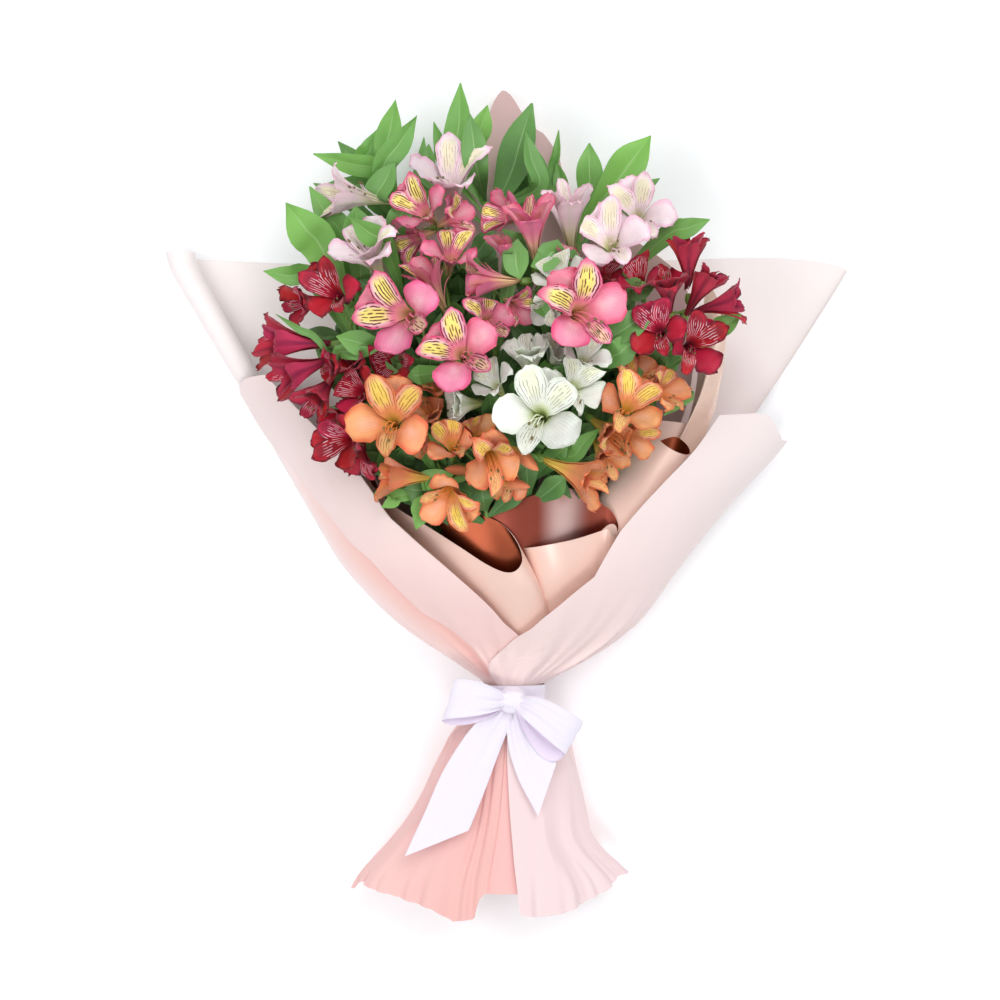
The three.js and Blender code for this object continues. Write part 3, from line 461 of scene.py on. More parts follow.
# The leafy shoots that carry no flowers: where each ends
SHOOTS = {"leafy_left": vec(-84, 226, 52), "leafy_centre": vec(-12, 244, 46),
          "leafy_right": vec(66, 226, 50)}

# The leaves of each stem, as [root's distance down the stem, bend, tip, width, roll in degrees, tone from
# dark and blue to light and yellow]
LEAVES = {
    "leafy_left": [
        [6, [-92, 262, 66], [-150, 278, 72], 18, 20, 0.8],
        [14, [-104, 252, 54], [-146, 254, 50], 17, -10, 0.35],
        [10, [-92, 276, 60], [-84, 322, 68], 21, 15, 0.75],
        [2, [-94, 262, 84], [-66, 306, 92], 20, -25, 0.4],
        [20, [-106, 262, 44], [-132, 292, 40], 16, 0, 0.3],
        [24, [-66, 240, 40], [-62, 296, 36], 14, 0, 0.55],
        [4, [-98, 240, 86], [-84, 268, 96], 24, 30, 0.3],
        [12, [-110, 268, 50], [-100, 300, 50], 18, 0, 0.6],
        [18, [-120, 240, 44], [-152, 258, 40], 14, 0, 0.25]],
    "leafy_centre": [
        [6, [-34, 276, 50], [-32, 338, 52], 22, 12, 0.6],
        [14, [-44, 272, 40], [-54, 308, 40], 11, 0, 0.7],
        [10, [-20, 284, 60], [-10, 318, 66], 19, -20, 0.85],
        [2, [-18, 262, 96], [-24, 306, 100], 21, 10, 0.25],
        [18, [8, 262, 56], [26, 320, 62], 29, 18, 0.2],
        [26, [16, 246, 40], [10, 286, 38], 16, 0, 0.25],
        [8, [30, 250, 74], [20, 296, 80], 16, -30, 0.3],
        [22, [-60, 262, 40], [-58, 290, 40], 15, 0, 0.6]],
    "leafy_right": [
        [6, [72, 250, 56], [72, 288, 62], 22, 0, 0.55],
        [2, [92, 254, 66], [121, 292, 76], 30, 12, 0.9],
        [14, [36, 250, 50], [22, 292, 54], 18, 0, 0.3],
        [20, [44, 262, 36], [48, 302, 36], 8, 20, 0.5],
        [24, [92, 238, 40], [130, 262, 40], 18, 0, 0.4],
        [16, [52, 244, 40], [46, 276, 38], 13, 10, 0.5]],
    "red_top_left": [
        [6, [-140, 196, 88], [-170, 236, 98], 33, 15, 0.85],
        [14, [-124, 204, 80], [-152, 250, 86], 22, -15, 0.6],
        [20, [-150, 176, 66], [-190, 184, 70], 17, 0, 0.6],
        [16, [-112, 206, 98], [-114, 232, 108], 26, -20, 0.45]],
    "pale_left": [
        [10, [-90, 200, 112], [-118, 222, 124], 20, 30, 0.5],
        [6, [-82, 214, 108], [-72, 238, 110], 18, 0, 0.3]],
    "pale_right": [
        [8, [130, 208, 96], [166, 222, 104], 18, 10, 0.6],
        [14, [92, 214, 66], [112, 256, 70], 15, 0, 0.5]],
    "red_right": [
        [8, [168, 132, 104], [190, 146, 112], 17, 0, 0.5],
        [20, [150, 84, 108], [128, 66, 122], 8, 20, 0.45]],
    "red_low_left": [
        [8, [-124, 50, 90], [-150, 46, 100], 14, 0, 0.4],
        [14, [-108, 66, 90], [-130, 64, 106], 20, 0, 0.35]],
    "red_left": [
        [18, [-140, 122, 116], [-176, 146, 122], 6, 20, 0.3],
        [14, [-128, 112, 118], [-92, 118, 138], 12, 0, 0.35]],
    "pink_left": [
        [8, [-100, 120, 128], [-128, 128, 130], 20, 10, 0.5],
        [16, [-96, 108, 120], [-70, 82, 128], 14, 0, 0.4]],
    "pink_centre": [
        [8, [-56, 98, 138], [-72, 96, 142], 16, 0, 0.5],
        [16, [-20, 178, 118], [-30, 196, 122], 14, 0, 0.35],
        [12, [10, 190, 130], [16, 172, 138], 20, 0, 0.4]],
    "pink_top_right": [
        [8, [20, 196, 118], [2, 212, 128], 14, 0, 0.35],
        [14, [52, 178, 128], [58, 196, 132], 22, 20, 0.25]],
    "pink_right": [
        [8, [92, 130, 138], [120, 148, 138], 22, 15, 0.3],
        [12, [88, 112, 134], [108, 126, 138], 22, 0, 0.35],
        [18, [96, 160, 122], [122, 168, 122], 18, 0, 0.3]],
    "white_front": [
        [8, [54, 34, 128], [78, 56, 138], 13, 20, 0.5],
        [16, [8, 56, 118], [-16, 66, 128], 16, -10, 0.45],
        [14, [88, 108, 120], [124, 92, 122], 11, 0, 0.3]],
    "white_back": [
        [8, [44, 190, 130], [24, 182, 138], 20, 0, 0.3],
        [14, [30, 160, 128], [36, 142, 132], 18, 10, 0.35]],
    "orange_mid": [
        [8, [-58, 14, 122], [-36, 20, 132], 16, 10, 0.75],
        [14, [-58, -2, 118], [-66, -23, 124], 15, 0, 0.7],
        [10, [-76, 4, 116], [-93, -6, 121], 12, 20, 0.75],
        [20, [-20, 20, 124], [-42, 14, 128], 7, 0, 0.7]],
    "orange_right": [
        [8, [92, 62, 120], [76, 36, 126], 13, 0, 0.6],
        [14, [108, 60, 118], [90, 44, 124], 12, 10, 0.5]],
    "orange_left": [
        [8, [-80, 12, 104], [-100, 4, 110], 12, 0, 0.5],
        [14, [-64, 46, 130], [-40, 36, 134], 15, 0, 0.55]],
}
LEAF_WIDTH = [0.12, 0.30, 0.60, 0.84, 0.97, 1.0, 0.93, 0.72, 0.38, 0.03]  # from root to tip


def seats_of(tops):
    """Puts every stem in the bundle, low heads at the back and left heads on the left."""
    rising = sorted(tops.items(), key=lambda item: (item[1][2] - TIE[2]) / (item[1][1] - TIE[1]))
    seats = {}
    for row, count in enumerate(BUNDLE_ROWS):
        members = sorted(rising[:count], key=lambda item: (item[1][0] - TIE[0]) / (item[1][1] - TIE[1]))
        rising = rising[count:]
        for i, (name, _) in enumerate(members):
            across = (i - (len(members) - 1) / 2) * STEM_PITCH
            up = (row - (len(BUNDLE_ROWS) - 1) / 2) * STEM_PITCH * ROW_PITCH
            seats[name] = BUNDLE + vec(across, 0, up)
    return seats


def leaf(heap, root, bend, tip, width, roll, tone, chance):
    """A lance-shaped leaf with a folded midrib, from its root on the stem through a bend to its tip."""
    root, bend, tip = (np.asarray(p, float) for p in (root, bend, tip))
    t = np.linspace(0, 1, 15)
    path = smooth([root, bend, (bend + tip) / 2 + vec(0, 0, 2.5), tip], t)
    along = unit(np.gradient(path, axis=0))
    across = unit(np.cross(along, vec(0, 0, 1)))
    up = np.cross(across, along)
    angle = np.radians(roll) * (0.4 + 0.6 * t)[:, None] + 0.25 * (chance[0] - 0.5) * np.sin(5 * t)[:, None]
    across, up = across * np.cos(angle) + up * np.sin(angle), up * np.cos(angle) - across * np.sin(angle)
    half = smooth(LEAF_WIDTH, t)[:, None] * width / 2
    u = np.linspace(-1, 1, 9)[None, :]
    fold = (0.30 + 0.15 * chance[1]) * np.abs(u) * half - 0.18 * u ** 2 * half
    wave = 0.045 * width * np.sin(11 * t[:, None] + 6 * chance[0] + 1.5 * np.sign(u)) * np.abs(u) ** 1.6
    grid = path[:, None] + across[:, None] * (half * u)[..., None] + up[:, None] * (fold + wave)[..., None]
    heap.blade(grid[:, ::-1], LEAF_THICKNESS, look=LEAF, kind=tone, chance=chance)


# How low the greenery reaches across the bouquet: [x, y]
LOWEST_GREEN = [[-170, 110], [-128, 56], [-96, 8], [-60, -10], [-24, -4], [0, 8], [48, 10], [80, 14],
                [112, 50], [150, 104], [176, 136]]


def whorl(heap, hub, line, count, chance, reach):
    """The ring of leaves under a head, which fills the space between its pedicels."""
    level = unit(np.cross(line, vec(0.3, 0.2, 1)))
    for k in range(count):
        side = turned(level, line, 2 * math.pi * (k + 0.35 * rng.random()) / count)
        rise = (0.55 + 0.35 * rng.random()) * reach
        root = hub - line * (6 + 5 * k)
        bend = root + line * 0.55 * rise + side * (15 + 6 * rng.random())
        tip = root + line * 1.05 * rise + side * (30 + 12 * rng.random())
        limit = face_height(tip[0], tip[1]) - 16
        tip[2] = min(tip[2], limit)
        bend[2] = min(bend[2], limit - 4)
        if tip[1] < np.interp(tip[0], *zip(*LOWEST_GREEN)) + 4:
            continue
        width = 15 + 6 * rng.random()
        roll = 40 * (rng.random() - 0.5)
        # the leaves deep in the mass take low, dark tones: painted shade for the dark gaps between the heads
        tone = 0.45 * rng.random() - 0.15
        leaf(heap, root, bend, tip, width, roll, tone, (rng.random(), chance))


def stem(heap, seat, top, chance):
    """A stem from its cut end through the tie to its top."""
    cut = (seat - BUNDLE) * CUT_SPREAD + BUNDLE + vec(0, -CUT_LENGTH, -CUT_DROP)
    knots = [cut, cut * 0.5 + seat * 0.5, seat, seat * 0.75 + top * 0.25, seat * 0.5 + top * 0.5,
             seat * 0.25 + top * 0.75, top]
    radii = np.linspace(STEM_RADIUS, STEM_TOP_RADIUS, 22)
    heap.rod(smooth(knots, np.linspace(0, 1, 22)), radii, 8, look=STALK, kind=0.5, chance=(chance, 0.5))


# ------------------------------------------------------------------ papers

WAIST = 25  # radius of the wraps under the ribbon
# Across the bouquet at stations y: [y, height of the middle, left, right, above, below]
TISSUE_SECTIONS = [
    [-345, 26, 142, 106, 42, 30], [-310, 27, 135, 104, 40, 31], [-304, 27, 130, 98, 40, 31],
    [-290, 27, 116, 75, 38, 31], [-284, 27, 110, 66, 38, 31], [-279, 28, 104, 63, 37, 32],
    [-250, 29, 82, 60, 35, 32], [-203, 32, 60, 50, 32, 29], [-184, 34, 47, 43, 30, 28],
    [-172, 36, WAIST, WAIST, WAIST, WAIST], [-149, 36, WAIST, WAIST, WAIST, WAIST],
    [-132, 35, 49, 58, 37, 31], [-112, 30, 83, 92, 52, 30], [-96, 30, 105, 110, 68, 30],
    [-56, 24, 146, 138, 104, 30], [0, 20, 180, 184, 114, 26], [40, 20, 204, 224, 92, 26],
    [84, 20, 229, 252, 66, 26], [200, 14, 300, 302, 24, 20],
]
# The back sheet is narrower on the right than the flap in front of it
BACK_RIGHT = [92, 104, 130, 162, 182, 210, 284]
BACK_SECTIONS = TISSUE_SECTIONS[:-7] + [[*row[:3], right, *row[4:]]
                                        for row, right in zip(TISSUE_SECTIONS[-7:], BACK_RIGHT)]

PAPER = 0.4  # thickness
LAYER = 1.3  # from one layer of paper to the next at the tie
LOOSENING = 0.02  # how much further apart the layers are, for each millimetre that a section is wider
CORE = 21  # radius of the copper's outermost layer under the ribbon
COPPER_FOOT = -176.0  # where the copper papers end below the ribbon
COPPER_SECTIONS = [
    [-180, 36, CORE, CORE, CORE, CORE], [-149, 36, CORE, CORE, CORE, CORE],
    [-132, 36, 31, 34, 27, 24], [-112, 34, 54, 64, 36, 28],
    [-56, 33, 92, 108, 78, 28], [0, 32, 120, 138, 88, 27], [84, 30, 150, 166, 88, 25],
    [200, 26, 170, 176, 60, 20], [340, 22, 170, 176, 50, 14],
]
NECK = [-172.0, -158.0, -149.0, -132.0]  # where the ribbon gathers every paper
ROLL_TURN, ROLL_COLS = 200, 16  # how far a rolled edge turns, and its columns


def column(table, y, c):
    """One column of a table, between its rows."""
    table = np.asarray(table, float)
    return np.interp(y, table[:, 0], table[:, c])


def rounded(table, y, c):
    """One column of a table of sections, with its corners rounded away from the tie."""
    reach = 15 * ramp(np.abs(y - TIE[1]), 14, 50)
    return np.mean([column(table, y + step * reach, c) for step in (-1, -0.6, -0.2, 0.2, 0.6, 1)], axis=0)


def crease(turn):
    """A wave with soft crests and sharp valleys."""
    return 1.3 - 2 * np.abs(np.sin(turn))


def crinkle(y, angle):
    """How far the wraps stand out in the folds that run up and down from the ribbon."""
    away = np.abs(y - TIE[1])
    drift = 0.004 * (y - TIE[1])
    folds = (0.8 * crease(4.5 * angle + 0.6 + drift) + 0.6 * crease(8.5 * angle + 2.1 - 2 * drift)
             + 0.4 * np.sin(29 * angle + 4.0) + 0.25 * crease(21 * angle + 1.2 + 3 * drift))
    near = 2.7 * ramp(away, 12, 24) * (1 - ramp(away, 26, np.where(y < TIE[1], 62, 95))) + 0.2
    skirt = 3.0 * ramp(-y, 200, 300) * (np.sin(5 * angle + 1.0) + 0.5 * crease(6.5 * angle + 2.0))
    pleats = -2.6 * ramp(-y, 180, 215) * (np.exp(-((angle - 1.83) / 0.025) ** 2)
                                          + np.exp(-((angle - 1.91) / 0.025) ** 2))
    hem = 1.5 * ramp(-y, 285, 335) * (np.sin(31 * angle) + 0.6 * np.sin(53 * angle + 1))
    return near * folds + skirt + pleats + hem


def on_section(sections, y, angle, layer):
    """Points of a layer at stations y and angles in degrees round the bundle, from the right over the
    front."""
    height, left, right, above, below = (rounded(sections, y, c) for c in range(1, 6))
    c, s = np.cos(np.radians(angle)), np.sin(np.radians(angle))
    if not np.isscalar(layer):
        layer = column(layer, angle, 1)
    inset = layer * (LAYER + LOOSENING * np.maximum((left + right) / 2 - WAIST, 0))
    lift = crinkle(y, np.radians(angle)) * ramp(s, -0.45, 0.1)
    x = TIE[0] + c * (np.where(c > 0, right, left) - inset + lift)
    z = height + s * (np.where(s > 0, above, below) - inset + lift)
    return np.stack([x, y, np.maximum(z, PAPER + inset)], axis=-1)


def rolled_edge(edge, before, radius, turn, steps):
    """The points of a side edge rolled in towards the bundle, each a column beyond the edge."""
    along = edge - before
    along[:, 1] = 0
    along = unit(along)
    inwards = np.stack([TIE[0] - edge[:, 0], 0 * edge[:, 1], TIE[2] - edge[:, 2]], axis=1)
    inwards = unit(inwards - along * np.sum(inwards * along, axis=1, keepdims=True))
    angle = np.radians(turn * np.arange(1, steps + 1) / steps)[None, :, None]
    radius = radius[:, None, None]
    return (edge[:, None] + along[:, None] * radius * np.sin(angle)
            + inwards[:, None] * radius * (1 - np.cos(angle)))


def ends(values, f):
    """The ends of a sheet at places f across it: a smooth list, or a table of [place, end] with corners."""
    return np.interp(f, *zip(*values)) if hasattr(values[0], "__len__") else smooth(values, f)


def wrap_grid(sections, layer, start, end, hem, lip, rows=(30, 8, 56), cols=56, roll=None):
    """A wrap of paper. start and end give the angles of its side edges as tables over y, hem and lip its
    ends across it, and roll the radius of an edge rolled in at start, as a table over y."""
    f = np.linspace(0, 1, cols)
    bottom, top = ends(hem, f), ends(lip, f)
    below = np.linspace(1, 0, rows[0] + 1)[:-1, None]
    above = np.linspace(0, 1, rows[2] + 1)[1:, None]
    neck = np.repeat(np.linspace(NECK[0], NECK[-1], rows[1])[:, None], cols, axis=1)
    stations = np.concatenate([NECK[0] + (bottom - NECK[0]) * below, neck,
                               NECK[-1] + (top - NECK[-1]) * above])
    angle = column(start, stations, 1) * (1 - f) + column(end, stations, 1) * f
    grid = on_section(sections, stations, angle, layer)
    if roll:
        curl = rolled_edge(grid[:, 0], grid[:, 1], column(roll, stations[:, 0], 1), ROLL_TURN, ROLL_COLS)
        grid = np.concatenate([curl[:, ::-1], grid], axis=1)
    return grid


WRAPS = {
    "tissue_back": dict(
        sections=BACK_SECTIONS, layer=[[180, 2.3], [206, 0], [366, 0]],
        start=[[-345, 66], [-190, 76], [-172, 90], [-150, 94], [-140, 98], [-118, 104], [-90, 114],
               [-48, 127], [20, 145], [60, 168], [100, 186], [200, 186]],
        end=[[-345, 344], [-131, 344], [40, 350], [200, 366]],
        hem=[[0, -318], [0.15, -318], [0.3, -303], [0.45, -300], [0.6, -312], [0.8, -314], [0.92, -300],
             [1, -290]],
        lip=[204, 196, 196, 200, 186], cols=110,
        roll=[[-160, 0.7], [-60, 1.6], [20, 6], [80, 10.5], [210, 12]]),
    "tissue_right": dict(
        sections=TISSUE_SECTIONS, layer=0.5, start=[[-345, -14], [-131, -14], [84, -8]],
        end=[[-345, 86], [-190, 95], [-172, 108], [-158, 120], [-144, 120], [-132, 112], [-118, 94.7],
             [-109, 87], [-103, 81.5], [-83, 71.4], [-61, 61], [-25, 58.4], [8, 53], [38, 48.7], [90, 44]],
        hem=[[0, -300], [0.2, -304], [0.36, -306], [0.57, -319], [0.69, -326], [0.8, -333], [0.93, -336],
             [1, -334]],
        lip=[[0, 47], [0.42, 49], [0.55, 56], [0.7, 68], [0.8, 70], [1, 68]], cols=80),
    "tissue_left": dict(
        sections=TISSUE_SECTIONS, layer=1.4,
        start=[[-345, 100.5], [-190, 98], [-172, 80], [-158, 62], [-125, 76], [-109, 87], [-98, 94.6],
               [-63, 108.5], [-35, 119], [-14, 126.4], [5, 129], [26, 132], [44, 136.5], [86, 147],
               [100, 150]],
        end=[[-345, 194], [-186, 194], [-158, 150], [-135, 115], [-118, 117], [-106, 123], [-89, 133.5],
             [-48, 141], [-32, 148], [30, 162], [62, 176], [84, 181], [100, 183]],
        hem=[[0, -318], [0.02, -323], [0.035, -339], [0.12, -341], [0.2, -331], [0.34, -323], [0.5, -316],
             [0.66, -311], [0.8, -318], [1, -308]],
        lip=[102, 99, 92, 84], cols=120,
        roll=[[-345, 3.2], [-220, 2.6], [-180, 0.7], [100, 0.7]]),
    "copper_back": dict(
        sections=COPPER_SECTIONS, layer=1, start=[[-180, 216], [84, 202]],
        end=[[-180, 322], [84, 334], [200, 338]], hem=[COPPER_FOOT, COPPER_FOOT],
        lip=[[0, 110], [0.12, 190], [0.3, 235], [0.385, 258], [0.433, 300], [0.465, 332], [0.482, 339],
             [0.5, 333], [0.535, 309], [0.565, 302], [0.595, 285], [0.615, 250], [0.675, 232], [0.76, 215],
             [0.88, 190], [1, 150]],
        rows=(1, 6, 70), cols=120),
}

# The copper papers in front turn back on themselves at their edges. Each point of a lip is
# [x, y, depth under the section or height, angle and share of the radius of its foot at the neck].
COPPER_LEFT_LIP = [
    [-117, 60, 50, 206, 1], [-131, 58, 2, 182, 1], [-122, 44, 0, 166, 1], [-112, 26, 0, 153, 1],
    [-98, 6, 0, 142, 1], [-80, -8, 0, 132, 1], [-59, -20, 0, 120, 1], [-32, -37, -1, 104, 1],
    [-12, -50, -3, 88, 1], [2, -56.5, -5, 72, 1.03], [11, -56.5, -6, 58, 1.06], [16.5, -51, -4, 49, 1.06],
    [17.5, -44, 2, 46, 1.02], [14, -34, 9, 48, 0.95], [7, -24, 14, 56, 0.9], [-2, -17, 16, 68, 0.88],
    [-15, -12, 17, 86, 0.86], [-32, -9, 18, 106, 0.84], [-52, -9, 19, 122, 0.82]]
COPPER_FRONT_LIP = [
    [-14, -30, 34, 96, 0.74], [4, -36, 30, 82, 0.78], [15, -38, 22, 68, 0.84], [24, -37.6, 8, 56, 0.92],
    [37.6, -35.4, 1, 46, 0.98], [59, -31, 0, 38, 0.98], [78.5, -25, -2, 30, 0.99], [85, -23, -4, 26, 1],
    [88, -27, -4, 23, 1], [91, -28, -3, 20, 1], [94, -25, 0, 18, 0.99], [94.2, -20, 3, 19, 0.97],
    [91, -12, 7, 24, 0.95], [84, -5, 11, 32, 0.92], [68, 3.4, 16, 46, 0.88], [57, 8.8, 17, 55, 0.87],
    [46, 10.4, 17, 62, 0.87], [35, 7.0, 17.5, 70, 0.86], [22.4, 2.4, 18, 80, 0.85],
    [-3.2, -4.8, 20, 100, 0.84], [-28, -9, 23, 116, 0.82]]
COPPER_RIGHT_LIP = [
    [127, 47, 66, 34, 0.8], [141, 51, 61, 26, 0.82], [150, 45, 65, 19, 0.88], [152.5, 38, 73, 24, 0.92],
    [147, 36.5, 82, 42, 0.93], [137.5, 40, 87, 60, 0.92], [128, 47, 84, 74, 0.86], [121, 56, 76, 83, 0.8],
    [118, 63.5, 66, 84, 0.76], [120, 65, 62, 80, 0.74], [128, 64.5, 56, 70, 0.76], [140, 63.5, 51, 54, 0.8],
    [154, 62, 48, 34, 0.88], [165, 62, 47, 16, 0.96], [173, 69, 46, 10, 0.98], [178, 92, 48, 22, 0.88],
    [181, 111, 49, 32, 0.76], [183, 137, 50, 36, 0.7], [178, 160, 48, 20, 0.8], [168, 180, 40, -20, 0.95]]


ROLL_END = 8 / 19  # the share of the right lip that is rolled up


def lip_grid(lip, heights_given=False, rows=60, cols=150):
    """A copper paper that opens from the ribbon to a free lip."""
    x, y, depth, turn, share = smooth(lip, np.linspace(0, 1, cols)).T
    height, left, right, above = (rounded(COPPER_SECTIONS, y, c) for c in range(1, 5))
    q = (x - TIE[0]) / np.where(x > TIE[0], right, left)
    crest = height + above * np.sqrt(np.maximum(1 - q ** 2, 0))
    r = ((depth if heights_given else crest - depth) - height) / above
    turn = np.radians(turn)
    place = np.linspace(0, 1, rows)[:, None]
    station = NECK[2] + (y - NECK[2]) * place
    q = share * np.cos(turn) * (1 - place) + q * place
    r = share * np.sin(turn) * (1 - place) + r * place
    height, left, right, above = (rounded(COPPER_SECTIONS, station, c) for c in range(1, 5))
    foot_x, foot_z = TIE[0] + CORE * share * np.cos(turn), TIE[2] + CORE * share * np.sin(turn)
    grid = np.stack([TIE[0] + q * np.where(q > 0, right, left), station, height + r * above], axis=-1)
    below = np.array([COPPER_FOOT, -167, TIE[1]])[:, None]
    foot = np.stack(np.broadcast_arrays(foot_x, below, foot_z), axis=-1)
    return np.concatenate([foot, grid])


# ------------------------------------------------------------------ ribbon

RIBBON_WIDTH = 38
RIBBON = 0.4  # thickness
BAND_RADIUS, BAND_LOW, BAND_HIGH = 26.6, -171, -150
# Each strip of the bow: rows of [x, y, height, width] from the knot outwards, and the direction across it
LOOPS = [
    ([[6, -162, 74, 11], [-5, -161, 78.5, 20], [-20, -159.5, 80.5, 29], [-34, -159, 79.5, 33],
      [-42, -161, 75, 33], [-36, -165, 71, 32], [-22, -167, 70, 28], [-7, -166, 70, 20], [4, -163, 70, 11]],
     (0.28, 0.96, 0.0)),
    ([[14, -162, 74, 12], [24, -166, 79, 20], [38, -174.5, 81, 26], [51, -184, 79.5, 29],
      [59, -191, 75, 30], [52, -196, 71, 32], [40, -192, 69.5, 31], [26, -179, 69, 23], [15, -166, 70, 12]],
     (0.5, 0.86, 0.0)),
]
TAILS = [
    ([[7, -162, 68.5, 10], [0, -174, 67.5, 20], [-14, -196, 67.5, 30], [-29, -226, 68.5, 37],
      [-41, -254, 69.5, 38], [-51, -276, 70, 38]], None),
    ([[13, -162, 68, 10], [14, -176, 67, 18], [20, -198, 67, 26], [29, -217, 68, 32], [38, -233, 69, 34]],
     None),
]
SLANTS = [-20, -15]  # how far each tail's end is cut on the slant


KNOT, KNOT_SIZE = (10, -161, 70), (11.5, 10.5, 7.5)  # its middle, and half its size


def strip(rows, across, count, cols=15, slant=0.0):
    """A grid for a strip of ribbon through rows of middles and widths, creased where it is narrow, with its
    right side up at its first half."""
    data = smooth(rows, np.linspace(0, 1, count))
    path, width = data[:, :3], data[:, 3]
    along = unit(np.gradient(path, axis=0))
    if across is None:
        across = np.cross(np.broadcast_to(vec(0, 0, 1), along.shape), along)
    across = unit(np.broadcast_to(vec(*across) if len(across) == 3 else across, along.shape))
    face = unit(np.cross(along, across))
    u = np.linspace(-1, 1, cols)[None, :]
    gathered = np.clip(1 - width / RIBBON_WIDTH, 0, 1)[:, None]
    folds = 3.0 * gathered ** 1.2 * np.cos(2.5 * math.pi * u + 0.5)
    bow = 0.9 * (1 - u ** 2) * (1 - gathered)
    skew = slant * ramp(np.linspace(0, 1, count), 0.72, 1)[:, None] * u
    grid = (path[:, None] + across[:, None] * (width[:, None] * u / 2)[..., None]
            + face[:, None] * (folds + bow)[..., None] + along[:, None] * skew[..., None])
    return grid if np.cross(across[count // 4], along[count // 4])[2] > 0 else grid[:, ::-1]


# ------------------------------------------------------------------ materials

COLOUR, NUMBER = "NodeSocketColor", "NodeSocketFloat"


def srgb(r, g, b):
    """A colour given as a screen shows it, from 0 to 255, as the light that the surface throws back."""
    values = [c / 255 for c in (r, g, b)]
    return (*[c / 12.92 if c <= 0.04045 else ((c + 0.055) / 1.055) ** 2.4 for c in values], 1.0)


class Shop:
    """Adds nodes to a material's or a group's tree and links what is handed to them."""

    def __init__(self, tree):
        self.tree = tree

    def feed(self, entry, value):
        if isinstance(value, bpy.types.NodeSocket):
            self.tree.links.new(value, entry)
        else:
            entry.default_value = value

    def add(self, kind, settings=None, **inputs):
        node = self.tree.nodes.new(kind)
        for name, value in (settings or {}).items():
            setattr(node, name, value)
        for name, value in inputs.items():
            self.feed(node.inputs[name.replace("_", " ")], value)
        return node

    def math(self, operation, *values, clamp=False):
        node = self.add("ShaderNodeMath", {"operation": operation, "use_clamp": clamp})
        for entry, value in zip(node.inputs, values):
            self.feed(entry, value)
        return node.outputs[0]

    def times(self, first, *others, clamp=False):
        for other in others:
            first = self.math("MULTIPLY", first, other, clamp=clamp)
        return first

    def plus(self, a, b, clamp=False):
        return self.math("ADD", a, b, clamp=clamp)

    def minus(self, a, b):
        return self.math("SUBTRACT", a, b)

    def swing(self, value, reach):
        """A value from 0 to 1 as a swing about zero."""
        return self.times(self.minus(value, 0.5), reach)

    def from_middle(self, across):
        """How far a place across a piece is from its middle line: 0 on the line and 1 at the edges."""
        return self.math("ABSOLUTE", self.minus(self.times(across, 2.0), 1.0))

    def mix(self, factor, a, b):
        node = self.add("ShaderNodeMix", {"data_type": "RGBA"})
        for index, value in ((0, factor), (6, a), (7, b)):
            self.feed(node.inputs[index], value)
        return node.outputs[2]

    def step(self, value, low, high, to_low=0.0, to_high=1.0):
        """A soft step from to_low at low to to_high at high."""
        node = self.add("ShaderNodeMapRange", {"interpolation_type": "SMOOTHSTEP"}, Value=value,
                        From_Min=low, From_Max=high, To_Min=to_low, To_Max=to_high)
        return node.outputs["Result"]

    def shaded(self, colour, value, hue=0.5):
        """A colour made lighter or darker, and turned a little in hue."""
        return self.add("ShaderNodeHueSaturation", Hue=hue, Saturation=1.0, Value=value, Fac=1.0,
                        Color=colour).outputs[0]

    def marks(self, name):
        """The two values of one of a piece's UV maps."""
        uv = self.add("ShaderNodeUVMap", {"uv_map": name})
        parts = self.add("ShaderNodeSeparateXYZ", Vector=uv.outputs[0])
        return parts.outputs[0], parts.outputs[1]

    def position(self):
        """A point's place in the part, in metres."""
        return self.add("ShaderNodeTexCoord").outputs["Object"]

    def noise(self, scale, detail=2.0, roughness=0.5, vector=None):
        """Noise over the surface; scale is in cells per metre."""
        vector = self.position() if vector is None else vector
        return self.add("ShaderNodeTexNoise", Vector=vector, Scale=scale, Detail=detail,
                        Roughness=roughness).outputs["Fac"]


def effect(name, inputs, **outputs):
    """An empty node group that materials share, with its inputs, each a name with a default colour or
    number, and its outputs: its tree, its shop, what it is given and where its results go."""
    tree = bpy.data.node_groups.new(name, "ShaderNodeTree")
    for label, default in inputs.items():
        kind = COLOUR if isinstance(default, tuple) else NUMBER
        tree.interface.new_socket(label, in_out="INPUT", socket_type=kind).default_value = default
    for label, kind in outputs.items():
        tree.interface.new_socket(label, in_out="OUTPUT", socket_type=kind)
    shop = Shop(tree)
    return tree, shop, shop.add("NodeGroupInput").outputs, shop.add("NodeGroupOutput").inputs


